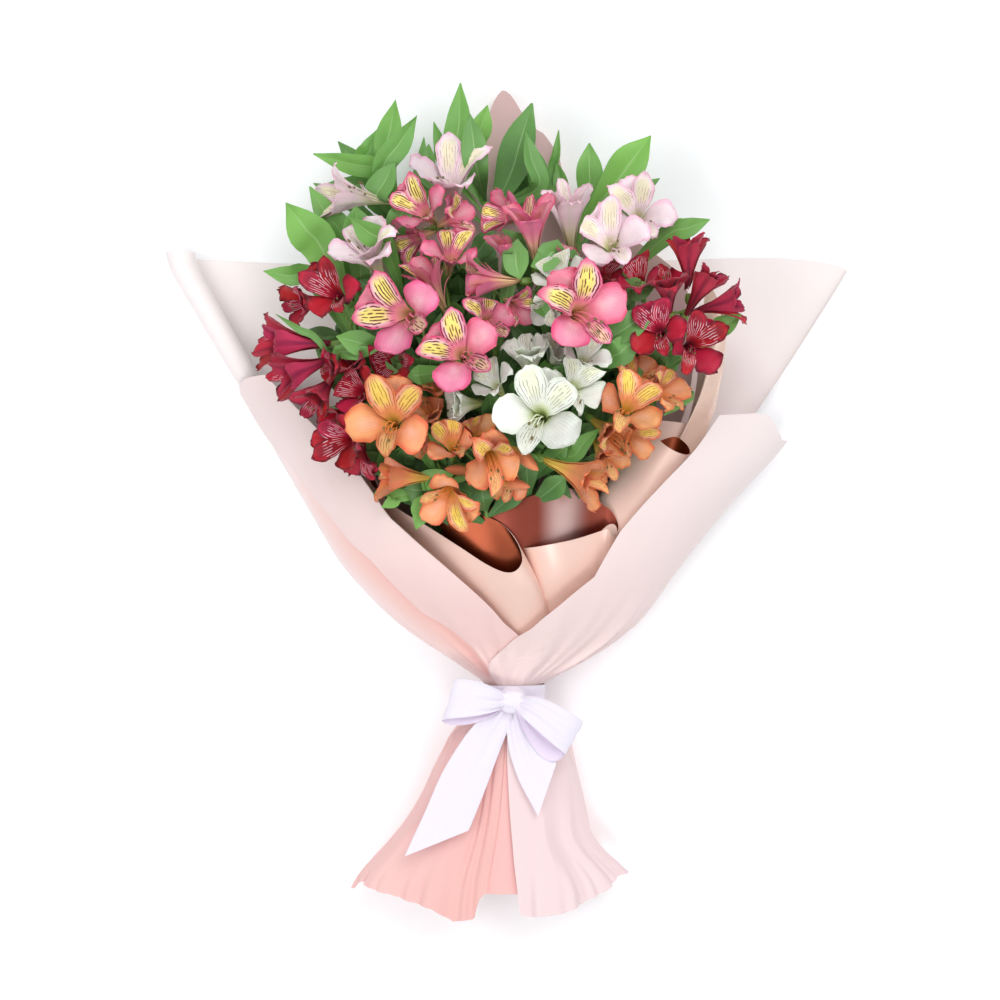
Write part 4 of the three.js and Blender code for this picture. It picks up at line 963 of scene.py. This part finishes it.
def tepal_effect():
    """Colours of a tepal: a pale throat, a blade with a richer edge and a paler heart, a blotch and dashes
    on the inner tepals, a stripe down the back, and fine veins."""
    tree, shop, given, out = effect("Tepal", {
        "Throat": srgb(235, 235, 190), "Blade": srgb(235, 120, 150), "Edge": srgb(220, 80, 120),
        "Heart": 0.6, "Blotch": srgb(245, 225, 90), "Blotch Amount": 1.0, "Halo": 0.6,
        "Dash": srgb(110, 20, 40), "Dash Amount": 1.0, "Dash Length": 1.0, "Dash Width": 0.12,
        "Dash End": 0.9,
        "Back": srgb(235, 130, 150), "Stripe": srgb(150, 170, 90), "Stripe Amount": 0.5,
    }, Colour=COLOUR, Height=NUMBER)
    across, along = shop.marks("Place")
    kind, side = shop.marks("Kind")
    chance, other = shop.marks("Chance")
    u = shop.from_middle(across)
    inner = shop.math("GREATER_THAN", kind, 0.5)
    lower = shop.math("GREATER_THAN", kind, 1.5)
    soft = shop.noise(90.0, 3.0)
    # throat, blade, heart and edge
    colour = shop.mix(shop.step(along, 0.1, 0.34), given["Throat"], given["Blade"])
    heart = shop.times(shop.step(along, 0.3, 0.45), shop.step(along, 0.8, 0.5), shop.step(u, 0.6, 0.1), soft,
                       given["Heart"])
    colour = shop.mix(heart, colour, srgb(255, 236, 232))
    rim = shop.math("MAXIMUM", shop.step(u, 0.55, 1.0), shop.step(along, 0.82, 1.0))
    rim = shop.times(rim, shop.step(along, 0.3, 0.6))
    rim = shop.times(rim, shop.plus(0.3, shop.times(soft, 1.1)), clamp=True)
    colour = shop.mix(rim, colour, given["Edge"])
    # the blotch in the middle of each inner tepal, and the pale halo round it
    spot = shop.times(shop.step(along, 0.3, 0.46), shop.step(along, 0.88, 0.68), inner,
                      shop.minus(1.0, shop.times(lower, 0.6)))
    ragged = shop.plus(u, shop.swing(soft, 0.5))
    halo = shop.times(spot, shop.step(ragged, 1.0, 0.6), given["Halo"])
    colour = shop.mix(halo, colour, srgb(255, 240, 236))
    blotch = shop.times(spot, shop.step(ragged, 0.72, 0.36), given["Blotch Amount"])
    colour = shop.mix(blotch, colour, given["Blotch"])
    # dashes, which fan out along the inner tepals in wandering lanes
    fan = shop.times(across, shop.plus(7.0, shop.times(chance, 3.0)))
    fan = shop.plus(fan, shop.swing(shop.noise(260.0, 1.0), 0.5))
    off_lane = shop.math("ABSOLUTE", shop.minus(shop.math("FRACT", fan), 0.5))
    lane = shop.times(shop.minus(shop.plus(given["Dash Width"], 0.1), off_lane), 10.0, clamp=True)
    run = shop.add("ShaderNodeCombineXYZ", X=shop.times(along, 9.0),
                   Y=shop.times(shop.math("FLOOR", fan), 3.7), Z=shop.times(chance, 20.0))
    gaps = shop.minus(0.52, shop.times(given["Dash Length"], 0.12))
    broken = shop.times(shop.minus(shop.noise(1.0, 0.0, vector=run.outputs[0]), gaps), 14.0, clamp=True)
    ending = shop.plus(given["Dash End"], shop.swing(soft, 0.4))
    left = shop.times(shop.minus(ending, along), 8.0, clamp=True)
    front = shop.plus(0.25, shop.times(shop.minus(1.0, side), 0.75))
    dash = shop.times(lane, broken, shop.step(along, 0.26, 0.36), left, inner, given["Dash Amount"], front)
    colour = shop.mix(dash, colour, given["Dash"])
    # the back: plainer, with a stripe down its middle
    behind = shop.mix(shop.step(along, 0.1, 0.45), given["Throat"], given["Back"])
    stripe = shop.times(shop.step(u, 0.42, 0.08), shop.minus(1.25, along), given["Stripe Amount"],
                        shop.step(soft, 0.25, 0.6, 0.55, 1.0))
    behind = shop.mix(stripe, behind, given["Stripe"])
    colour = shop.mix(shop.times(side, 0.85), colour, behind)
    # veins, which run along the tepal, and a little difference from one tepal to the next
    lines = shop.times(shop.plus(across, shop.swing(soft, 0.06)), 75.0)
    veins = shop.step(shop.math("SINE", lines), 0.3, 1.0)
    shade = shop.times(shop.plus(0.8, shop.times(chance, 0.26)), shop.plus(0.84, shop.times(soft, 0.32)))
    shade = shop.minus(shade, shop.times(veins, 0.07))
    hue = shop.plus(0.492, shop.times(other, 0.016))
    shop.feed(out["Colour"], shop.shaded(colour, shade, hue))
    shop.feed(out["Height"], shop.times(shop.plus(veins, shop.noise(1200.0, 2.0)), 0.5))
    return tree


def filament_effect():
    """Filaments and styles, from the colour of the throat to that of the tips."""
    tree, shop, given, out = effect("Filament", {"Low": srgb(232, 232, 190), "High": srgb(244, 214, 232)},
                                    Colour=COLOUR)
    shop.feed(out["Colour"], shop.mix(shop.marks("Place")[1], given["Low"], given["High"]))
    return tree


def tissue_effect():
    """Blush tissue: fine fibres, deeper where it is gathered and below the tie, and a skirt colour of its
    own below, which on the back sheet is a deep pink painted shade where it shows between the flaps. Shadow
    is how much warmer a sheet is where the left flap lies on it: painted shadow under the flap, in warm
    salmon. Fade is how much paler its skirt is far from the opening."""
    tree, shop, given, out = effect("Tissue", {
        "Pale": srgb(250, 241, 240), "Deep": srgb(244, 214, 210), "Skirt": srgb(240, 184, 180), "Glow": 0.0,
        "Fade": 0.0,
    }, Colour=COLOUR, Height=NUMBER)
    fibre = shop.noise(900.0, 4.0, 0.6)
    y = shop.add("ShaderNodeSeparateXYZ", Vector=shop.position()).outputs[1]
    y = shop.plus(y, shop.times(shop.noise(14.0, 3.0), 0.05))
    across, _ = shop.marks("Place")
    colour = shop.mix(shop.step(y, -0.13, 0.1), given["Deep"], given["Pale"])
    # painted shadow under the left flap: a warm salmon band on the sheet beneath
    flap_shadow = shop.times(shop.step(across, 0.33, 0.18), shop.step(y, 0.12, -0.04), given["Glow"])
    colour = shop.mix(flap_shadow, colour, srgb(246, 180, 166))
    # the skirt's own colour below; on the back sheet its deep pink is painted shade where it shows between
    # the flaps
    faded = shop.mix(shop.times(shop.step(across, 0.15, 0.6), given["Fade"]), given["Skirt"],
                     srgb(238, 198, 195))
    colour = shop.mix(shop.step(y, -0.12, -0.2), colour, faded)
    shop.feed(out["Colour"], shop.mix(shop.times(fibre, 0.08), colour, srgb(255, 246, 242)))
    shop.feed(out["Height"], fibre)
    return tree


def foil_effect():
    """Rose-gold satin paper: a fine grain, and clouds where it was handled. Gleam is the place across it
    where a pale band of painted reflection lies, and below 0 where there is none."""
    tree, shop, given, out = effect("Foil", {"Tint": srgb(158, 74, 42), "Gleam": -1.0, "Roughness": 0.3},
                                    Colour=COLOUR, Height=NUMBER, Roughness=NUMBER)
    grain = shop.noise(1500.0, 3.0)
    cloud = shop.noise(22.0, 3.0)
    colour = shop.shaded(given["Tint"], shop.plus(0.88, shop.times(cloud, 0.12)))
    across, _ = shop.marks("Place")
    # painted reflection: a pale band across the foil at the place Gleam
    painted_reflection = shop.step(shop.math("ABSOLUTE", shop.minus(across, given["Gleam"])), 0.1, 0.0)
    shop.feed(out["Colour"], shop.mix(painted_reflection, colour, srgb(238, 200, 194)))
    rough = shop.plus(shop.minus(given["Roughness"], 0.06), shop.times(shop.plus(grain, cloud), 0.06))
    shop.feed(out["Roughness"], rough)
    shop.feed(out["Height"], grain)
    return tree


def satin_effect():
    """Ribbon satin: threads across it, and a closer selvedge along each side."""
    tree, shop, given, out = effect("Satin", {"Tint": srgb(232, 226, 240)}, Colour=COLOUR, Height=NUMBER)
    across, _ = shop.marks("Place")
    threads = shop.math("SINE", shop.times(across, 500.0))
    selvedge = shop.step(shop.from_middle(across), 0.93, 0.96)
    colour = shop.mix(shop.times(shop.noise(700.0, 2.0), 0.25), given["Tint"], srgb(255, 252, 255))
    shop.feed(out["Colour"], shop.mix(shop.times(selvedge, 0.12), colour, srgb(206, 196, 214)))
    shop.feed(out["Height"], shop.plus(shop.times(threads, 0.5), selvedge))
    return tree


TEPAL, FILAMENTS, TISSUE, FOIL, SATIN = (tepal_effect(), filament_effect(), tissue_effect(), foil_effect(),
                                         satin_effect())


def surface(name, roughness, bump=0.0, distance=0.0004, **settings):
    """A new material with one Principled shader: its shop, its shader and its bump node, if it has one."""
    material = bpy.data.materials.new(name)
    material.use_nodes = True
    shop = Shop(material.node_tree)
    shader = material.node_tree.nodes["Principled BSDF"]
    shader.inputs["Roughness"].default_value = roughness
    for label, value in settings.items():
        shader.inputs[label.replace("_", " ")].default_value = value
    relief = None
    if bump:
        relief = shop.add("ShaderNodeBump", Strength=bump, Distance=distance)
        shop.feed(shader.inputs["Normal"], relief.outputs[0])
    return material, shop, shader, relief


def wear(parts, tree, values):
    """Gives a new material a shared effect with values of its own."""
    material, shop, shader, relief = parts
    node = shop.add("ShaderNodeGroup", {"node_tree": tree})
    for label, value in values.items():
        shop.feed(node.inputs[label.replace("_", " ")], value)
    shop.feed(shader.inputs["Base Color"], node.outputs["Colour"])
    if relief:
        shop.feed(relief.inputs["Height"], node.outputs["Height"])
    if "Roughness" in node.outputs:
        shop.feed(shader.inputs["Roughness"], node.outputs["Roughness"])
    return material


def petal_material(name, **values):
    parts = surface(name, 0.55, 0.35, 0.0003, Specular_IOR_Level=0.35, Sheen_Weight=0.15,
                    Sheen_Roughness=0.4)
    return wear(parts, TEPAL, values)


def filament_material(name, **values):
    return wear(surface(name, 0.5), FILAMENTS, values)


def tissue_material(name, **values):
    parts = surface(name, 0.62, 0.15, Specular_IOR_Level=0.3, Sheen_Weight=0.1, Sheen_Roughness=0.5)
    return wear(parts, TISSUE, values)


def foil_material(name, roughness, metallic, coat=0.0, **values):
    parts = surface(name, roughness, 0.1, 0.0003, Metallic=metallic, Coat_Weight=coat, Coat_Roughness=0.25)
    return wear(parts, FOIL, {"Roughness": roughness, **values})


def satin_material(name, **values):
    parts = surface(name, 0.36, 0.25, 0.0002, Specular_IOR_Level=0.5, Sheen_Weight=0.3, Sheen_Roughness=0.3,
                    Anisotropic=0.5)
    return wear(parts, SATIN, values)


def leaf_material():
    """A leaf, dark and blue or light and yellow by its tone, with parallel veins and a pale midrib."""
    material, shop, shader, relief = surface("leaf", 0.42, 0.3, 0.0003, Specular_IOR_Level=0.45)
    across, along = shop.marks("Place")
    tone, side = shop.marks("Kind")
    _, chance = shop.marks("Chance")
    midrib = srgb(178, 214, 150)
    amount = shop.plus(tone, shop.swing(shop.noise(45.0, 3.0), 0.35))
    amount = shop.plus(amount, shop.swing(along, 0.18), clamp=True)
    colour = shop.mix(amount, srgb(20, 68, 36), srgb(134, 200, 66))
    colour = shop.mix(shop.times(side, 0.5), colour, srgb(120, 176, 96))
    veins = shop.step(shop.math("SINE", shop.times(across, 105.0)), 0.2, 1.0)
    colour = shop.mix(shop.times(veins, 0.12), colour, midrib)
    rib = shop.times(shop.step(shop.from_middle(across), 0.07, 0.01), shop.step(along, 1.0, 0.7))
    colour = shop.mix(shop.times(rib, 0.45), colour, midrib)
    shade = shop.plus(0.9, shop.times(chance, 0.2))
    shop.feed(shader.inputs["Base Color"], shop.shaded(colour, shade))
    shop.feed(relief.inputs["Height"], shop.minus(shop.times(veins, 0.4), rib))
    return material


def stalk_material():
    """Stems, pedicels and ovaries: fresh green with pale lengthwise ribs."""
    material, shop, shader, relief = surface("stalk", 0.45, 0.3, 0.0003)
    across, _ = shop.marks("Place")
    ribs = shop.step(shop.math("SINE", shop.times(across, 37.7)), -0.2, 1.0)
    colour = shop.mix(shop.noise(60.0, 3.0), srgb(70, 120, 46), srgb(142, 178, 84))
    shop.feed(shader.inputs["Base Color"], shop.mix(shop.times(ribs, 0.3), colour, srgb(176, 204, 120)))
    shop.feed(relief.inputs["Height"], ribs)
    return material


def anther_material():
    """Anthers, dusted with pollen."""
    material, shop, shader, relief = surface("anther", 0.8, 0.5, 0.0002)
    grain = shop.noise(2600.0, 2.0)
    shop.feed(shader.inputs["Base Color"], shop.mix(grain, srgb(74, 66, 40), srgb(150, 138, 84)))
    shop.feed(relief.inputs["Height"], grain)
    return material


def variety(name, slot, low, high, **petal):
    """The slot of a variety's flowers and the materials of their petals and filaments."""
    return (slot, petal_material(f"{name}_petal", **petal),
            filament_material(f"{name}_filament", Low=low, High=high))


leafy = leaf_material()
stalk = stalk_material()
anther = anther_material()

VARIETIES = {
    "blush": variety(
        "blush", "pale_petals", srgb(232, 232, 190), srgb(244, 214, 232),
        Throat=srgb(228, 232, 168), Blade=srgb(255, 236, 242), Edge=srgb(250, 190, 214),
        Blotch=srgb(246, 242, 186), Blotch_Amount=0.6, Halo=0.3,
        Dash=srgb(136, 84, 84), Dash_Amount=0.55, Dash_Width=0.05, Dash_End=0.72,
        Back=srgb(255, 226, 236), Stripe=srgb(206, 214, 168), Stripe_Amount=0.4),
    "pink": variety(
        "pink", "pink_petals", srgb(240, 190, 170), srgb(232, 120, 156),
        Throat=srgb(240, 206, 150), Blade=srgb(244, 140, 170), Edge=srgb(226, 74, 122),
        Blotch=srgb(250, 234, 120), Blotch_Amount=0.95, Halo=0.6,
        Dash=srgb(110, 16, 40), Dash_Width=0.15, Dash_End=0.84,
        Back=srgb(236, 118, 154), Stripe=srgb(180, 60, 80)),
    "crimson": variety(
        "crimson", "crimson_petals", srgb(150, 40, 60), srgb(190, 60, 90),
        Throat=srgb(150, 24, 50), Blade=srgb(196, 24, 54), Edge=srgb(88, 8, 36), Heart=0.0,
        Blotch=srgb(134, 14, 44), Blotch_Amount=0.7, Halo=0.0,
        Dash=srgb(252, 214, 224), Dash_Length=1.2, Dash_Width=0.07, Dash_End=0.66,
        Back=srgb(214, 62, 96), Stripe=srgb(92, 24, 62), Stripe_Amount=0.8),
    "white": variety(
        "white", "white_petals", srgb(224, 234, 190), srgb(240, 240, 226),
        Throat=srgb(206, 220, 140), Blade=srgb(247, 249, 241), Edge=srgb(234, 242, 226), Heart=0.3,
        Blotch=srgb(240, 244, 204), Blotch_Amount=0.6, Halo=0.0,
        Dash=srgb(96, 74, 76), Dash_Amount=0.7, Dash_Width=0.05, Dash_End=0.74,
        Back=srgb(242, 248, 232), Stripe=srgb(160, 192, 112), Stripe_Amount=0.7),
    "apricot": variety(
        "apricot", "apricot_petals", srgb(246, 200, 90), srgb(240, 150, 90),
        Throat=srgb(240, 206, 90), Blade=srgb(246, 166, 112), Edge=srgb(222, 102, 60), Heart=0.35,
        Blotch=srgb(250, 216, 90), Blotch_Amount=0.9, Halo=0.2,
        Dash=srgb(136, 50, 26), Dash_Amount=0.8, Dash_Width=0.07,
        Back=srgb(238, 142, 94), Stripe=srgb(206, 150, 76)),
}


# ------------------------------------------------------------------ making

# The back sheet's deep skirt is painted shade where it shows between the flaps, and its warm band under the
# left flap is painted shadow.
TISSUES = {
    "tissue_back": tissue_material("back_tissue", Pale=srgb(250, 241, 240), Deep=srgb(244, 214, 210),
                                   Skirt=srgb(240, 184, 180), Glow=0.7),
    "tissue_right": tissue_material("right_tissue", Pale=srgb(239, 226, 225), Deep=srgb(239, 214, 211),
                                    Skirt=srgb(236, 211, 212)),
    "tissue_left": tissue_material("left_tissue", Pale=srgb(242, 225, 222), Deep=srgb(238, 200, 196),
                                   Skirt=srgb(234, 180, 174), Fade=0.6),
}
rose_face = foil_material("rose_paper", 0.36, 0.12, Tint=srgb(255, 219, 205))
# The dark tint of this inner foil is partly the copper's own colour and partly painted shade for the insides
# of the pockets.
copper_and_shade_foil = foil_material("copper_and_shade_foil", 0.3, 0.9, coat=0.3, Tint=srgb(158, 74, 42))
# Dark like the inner foil, partly painted shade, with a pale band of painted reflection across the front
# pocket's inside.
shade_and_reflection_foil = foil_material("shade_and_reflection_foil", 0.3, 0.9, coat=0.4, Tint=srgb(150, 66, 48), Gleam=0.78)
# A pale, lit copy of the inner foil: painted highlight on the inside of the right pocket's wall.
painted_highlight_foil = foil_material("painted_highlight_foil", 0.28, 0.12, coat=0.5, Tint=srgb(255, 222, 204))
mauve_foil = foil_material("mauve_foil", 0.3, 0.4, Tint=srgb(212, 178, 176))
satin = satin_material("satin", Tint=srgb(232, 226, 240))
# The back's lilac tint is partly the duller back of the satin and partly painted shade on the loops' inner
# faces.
satin_back = satin_material("satin_back", Tint=srgb(232, 216, 240))

WHORLS = [(0, 42), (16, 50), (36, 54), (60, 50)]  # rings of leaves: [distance down the stem, reach]
WHORL_LEAVES = 6
TONE_RANGE, TONE_START = 1.05, -0.06  # from the tones of the list of leaves to those of the material


def bloom_heap(flowers):
    """The flowers and buds of a head."""
    heap = Heap()
    for flower in flowers:
        chance = rng.random(14)
        if flower.form == "bud":
            bud(heap, flower, (chance[0], chance[1]))
            continue
        for k, (outline, kind, angle) in enumerate(TEPALS):
            tepal(heap, flower, outline, kind, angle, (chance[2 * k], chance[2 * k + 1]))
        stamens(heap, flower, chance[12])
    return heap


def finish_head(heap, name, kind, flowers, hub, line):
    """Adds the stalks of a head's flowers and the hub that they spring from."""
    slot, petal, filament = VARIETIES[kind]
    for flower in flowers:
        pedicel(heap, flower, hub, line, (rng.random(), rng.random()))
    heap.rod([hub - line * HUB_LENGTH, hub - line * 1.5, hub + line * 1.5], [2.0, 3.0, 2.4], 8, look=STALK,
             chance=(0.4, 0.5))
    piece(heap, f"{name}_bloom", [petal, stalk, filament, anther], slot, f"{name}_head")


def make_stem(name, seat, top):
    """A stem with its leaves and, under a head, with rings of leaves."""
    heap = Heap()
    line = unit(top - seat)
    end = top - line * (HUB_LENGTH if name in heads else 0)
    stem(heap, seat, end, rng.random())
    for down, bend, tip, width, roll, tone in LEAVES.get(name, []):
        leaf(heap, end - line * down, bend, tip, width, roll, TONE_RANGE * tone + TONE_START,
             (rng.random(), rng.random()))
    if name in heads:
        for down, reach in WHORLS:
            whorl(heap, end - line * down, line, WHORL_LEAVES, rng.random(), reach)
    piece(heap, f"{name}_foliage", [leafy, stalk], "foliage", f"{name}_stem")


def finish_paper(heap, name, faces, slot):
    """A paper's object. Every paper is held by the ribbon."""
    sheet = piece(heap, f"{name}_sheet", faces, slot, name, sharp=70)


def make_tissue(name):
    heap = Heap()
    heap.blade(wrap_grid(**WRAPS[name]), PAPER, back_look=0)
    finish_paper(heap, name, [TISSUES[name]], "blush_tissue")


def make_copper_back():
    heap = Heap()
    heap.blade(wrap_grid(**WRAPS["copper_back"]), PAPER, back_look=1)
    finish_paper(heap, "copper_back", [mauve_foil, rose_face], "copper_paper")


def make_pocket(name, lip, inside):
    """A copper paper in front. The right one's roll shows its outer face, and its wall the pale foil, a lit
    copy of the inner foil that paints the highlight along the wall.
    """
    heap = Heap()
    if name == "copper_right":
        grid = lip_grid(lip, heights_given=True)
        rolled = np.arange(grid.shape[1] - 1) < ROLL_END * grid.shape[1]
        heap.blade(grid, PAPER, look=rolled.astype(int), back_look=np.where(rolled, 0, 2))
    else:
        heap.blade(lip_grid(lip), PAPER, back_look=1)
    finish_paper(heap, name, [rose_face, inside, painted_highlight_foil], "copper_paper")


def band_grid():
    """The ribbon's band round the tie, bunched across its width."""
    turn = -np.arange(64) * 2 * math.pi / 64
    radii = BAND_RADIUS + 0.5 * np.sin(np.linspace(0, 1, 9) * 9)
    rings = []
    for y, radius in zip(np.linspace(BAND_LOW, BAND_HIGH, 9), radii):
        rings.append(np.stack([TIE[0] + radius * np.cos(turn), np.full(64, y),
                               TIE[2] + radius * np.sin(turn)], axis=1))
    return np.stack(rings)


def knot_grid():
    """The knot: a short barrel with lengthwise creases."""
    turn = np.linspace(0, 2 * math.pi, 33)[:-1]
    rows = []
    for t in np.linspace(-1, 1, 15):
        swell = math.sqrt(max(1 - abs(t) ** 2.6, 0.02))
        creases = 1 + 0.07 * np.cos(7 * turn) * swell
        rows.append(np.stack([KNOT[0] + KNOT_SIZE[0] * t + 0 * turn,
                              KNOT[1] + KNOT_SIZE[1] * swell * np.cos(turn) * creases,
                              KNOT[2] + KNOT_SIZE[2] * swell * np.sin(turn) * creases], axis=1))
    return np.stack(rows)


def make_ribbon():
    """The ribbon: its band, two loops, two tails and the knot."""
    heap = Heap()
    heap.blade(band_grid(), RIBBON, ring=True)
    for rows, across in LOOPS:
        heap.blade(strip(rows, across, 48), RIBBON, back_look=1)
    for (rows, across), slant in zip(TAILS, SLANTS):
        heap.blade(strip(rows, across, 34, slant=slant), RIBBON, back_look=1)
    heap.blade(knot_grid(), RIBBON, ring=True)
    ribbon = piece(heap, "satin_bow", [satin, satin_back], "ribbon_satin", "satin_ribbon")


make_room(all_flowers)
bloom_heaps = {name: bloom_heap(flowers) for name, (_, flowers) in heads.items()}
tops = {name: hub_of(flowers) for name, (_, flowers) in heads.items()} | SHOOTS
seats = seats_of(tops)
for name, (kind, flowers) in heads.items():
    finish_head(bloom_heaps[name], name, kind, flowers, tops[name], unit(tops[name] - seats[name]))
for name, top in tops.items():
    make_stem(name, seats[name], top)
for name in TISSUES:
    make_tissue(name)
make_copper_back()
make_pocket("copper_left", COPPER_LEFT_LIP, copper_and_shade_foil)
make_pocket("copper_front", COPPER_FRONT_LIP, shade_and_reflection_foil)
make_pocket("copper_right", COPPER_RIGHT_LIP, copper_and_shade_foil)
make_ribbon()

# ------------------------------------------------------------------ studio

FLOOR = -0.0006  # just under the bouquet
FLOOR_SIZE = 8.0
CAMERA_HEIGHT = 2.28
SENSOR = 36
VIEW_WIDTH, VIEW_PLANE = 0.8, 0.08  # the camera sees 0.8 m across at that height


def link(name, data, place=(0, 0, 0)):
    obj = bpy.data.objects.new(name, data)
    obj.location = place
    bpy.context.scene.collection.objects.link(obj)
    return obj


def floor(colour):
    mesh = bpy.data.meshes.new("floor")
    s = FLOOR_SIZE / 2
    mesh.from_pydata([(-s, -s, FLOOR), (s, -s, FLOOR), (s, s, FLOOR), (-s, s, FLOOR)], [], [(0, 1, 2, 3)])
    material, _, shader, _ = surface("floor", 0.9, Base_Color=colour, Emission_Color=colour,
                                     Emission_Strength=0.1)
    mesh.materials.append(material)
    link("floor", mesh)


def camera():
    data = bpy.data.cameras.new("camera")
    data.sensor_width = SENSOR
    data.lens = SENSOR * (CAMERA_HEIGHT - VIEW_PLANE) / VIEW_WIDTH
    bpy.context.scene.camera = link("camera", data, (0, 0, CAMERA_HEIGHT))


def lamp(name, place, size, power):
    """A soft round lamp that shines on the bouquet."""
    data = bpy.data.lights.new(name, "AREA")
    data.shape = "DISK"
    data.size = size
    data.energy = power
    aim = Vector((0, 0, 0.05)) - Vector(place)
    link(name, data, place).rotation_euler = aim.to_track_quat("-Z", "Y").to_euler()


def world():
    """White surroundings, brightest overhead."""
    studio = bpy.data.worlds.new("studio")
    studio.use_nodes = True
    sky = Shop(studio.node_tree)
    direction = sky.add("ShaderNodeTexCoord").outputs["Generated"]
    height = sky.add("ShaderNodeSeparateXYZ", Vector=direction).outputs[2]
    background = studio.node_tree.nodes["Background"]
    light = sky.mix(sky.step(height, 0.4, 0.97), (0.42, 0.42, 0.43, 1), (0.74, 0.75, 0.76, 1))
    sky.feed(background.inputs["Color"], light)
    background.inputs["Strength"].default_value = 1.0
    bpy.context.scene.world = studio


floor((0.96, 0.97, 0.985, 1))
camera()
lamp("key", (0.8, 1.3, 2.2), 1.8, 27)
lamp("fill", (-1.3, -0.3, 2.0), 1.5, 14)
lamp("low", (0.25, -1.6, 1.9), 0.8, 11)
world()
bpy.context.scene.view_settings.view_transform = "Standard"
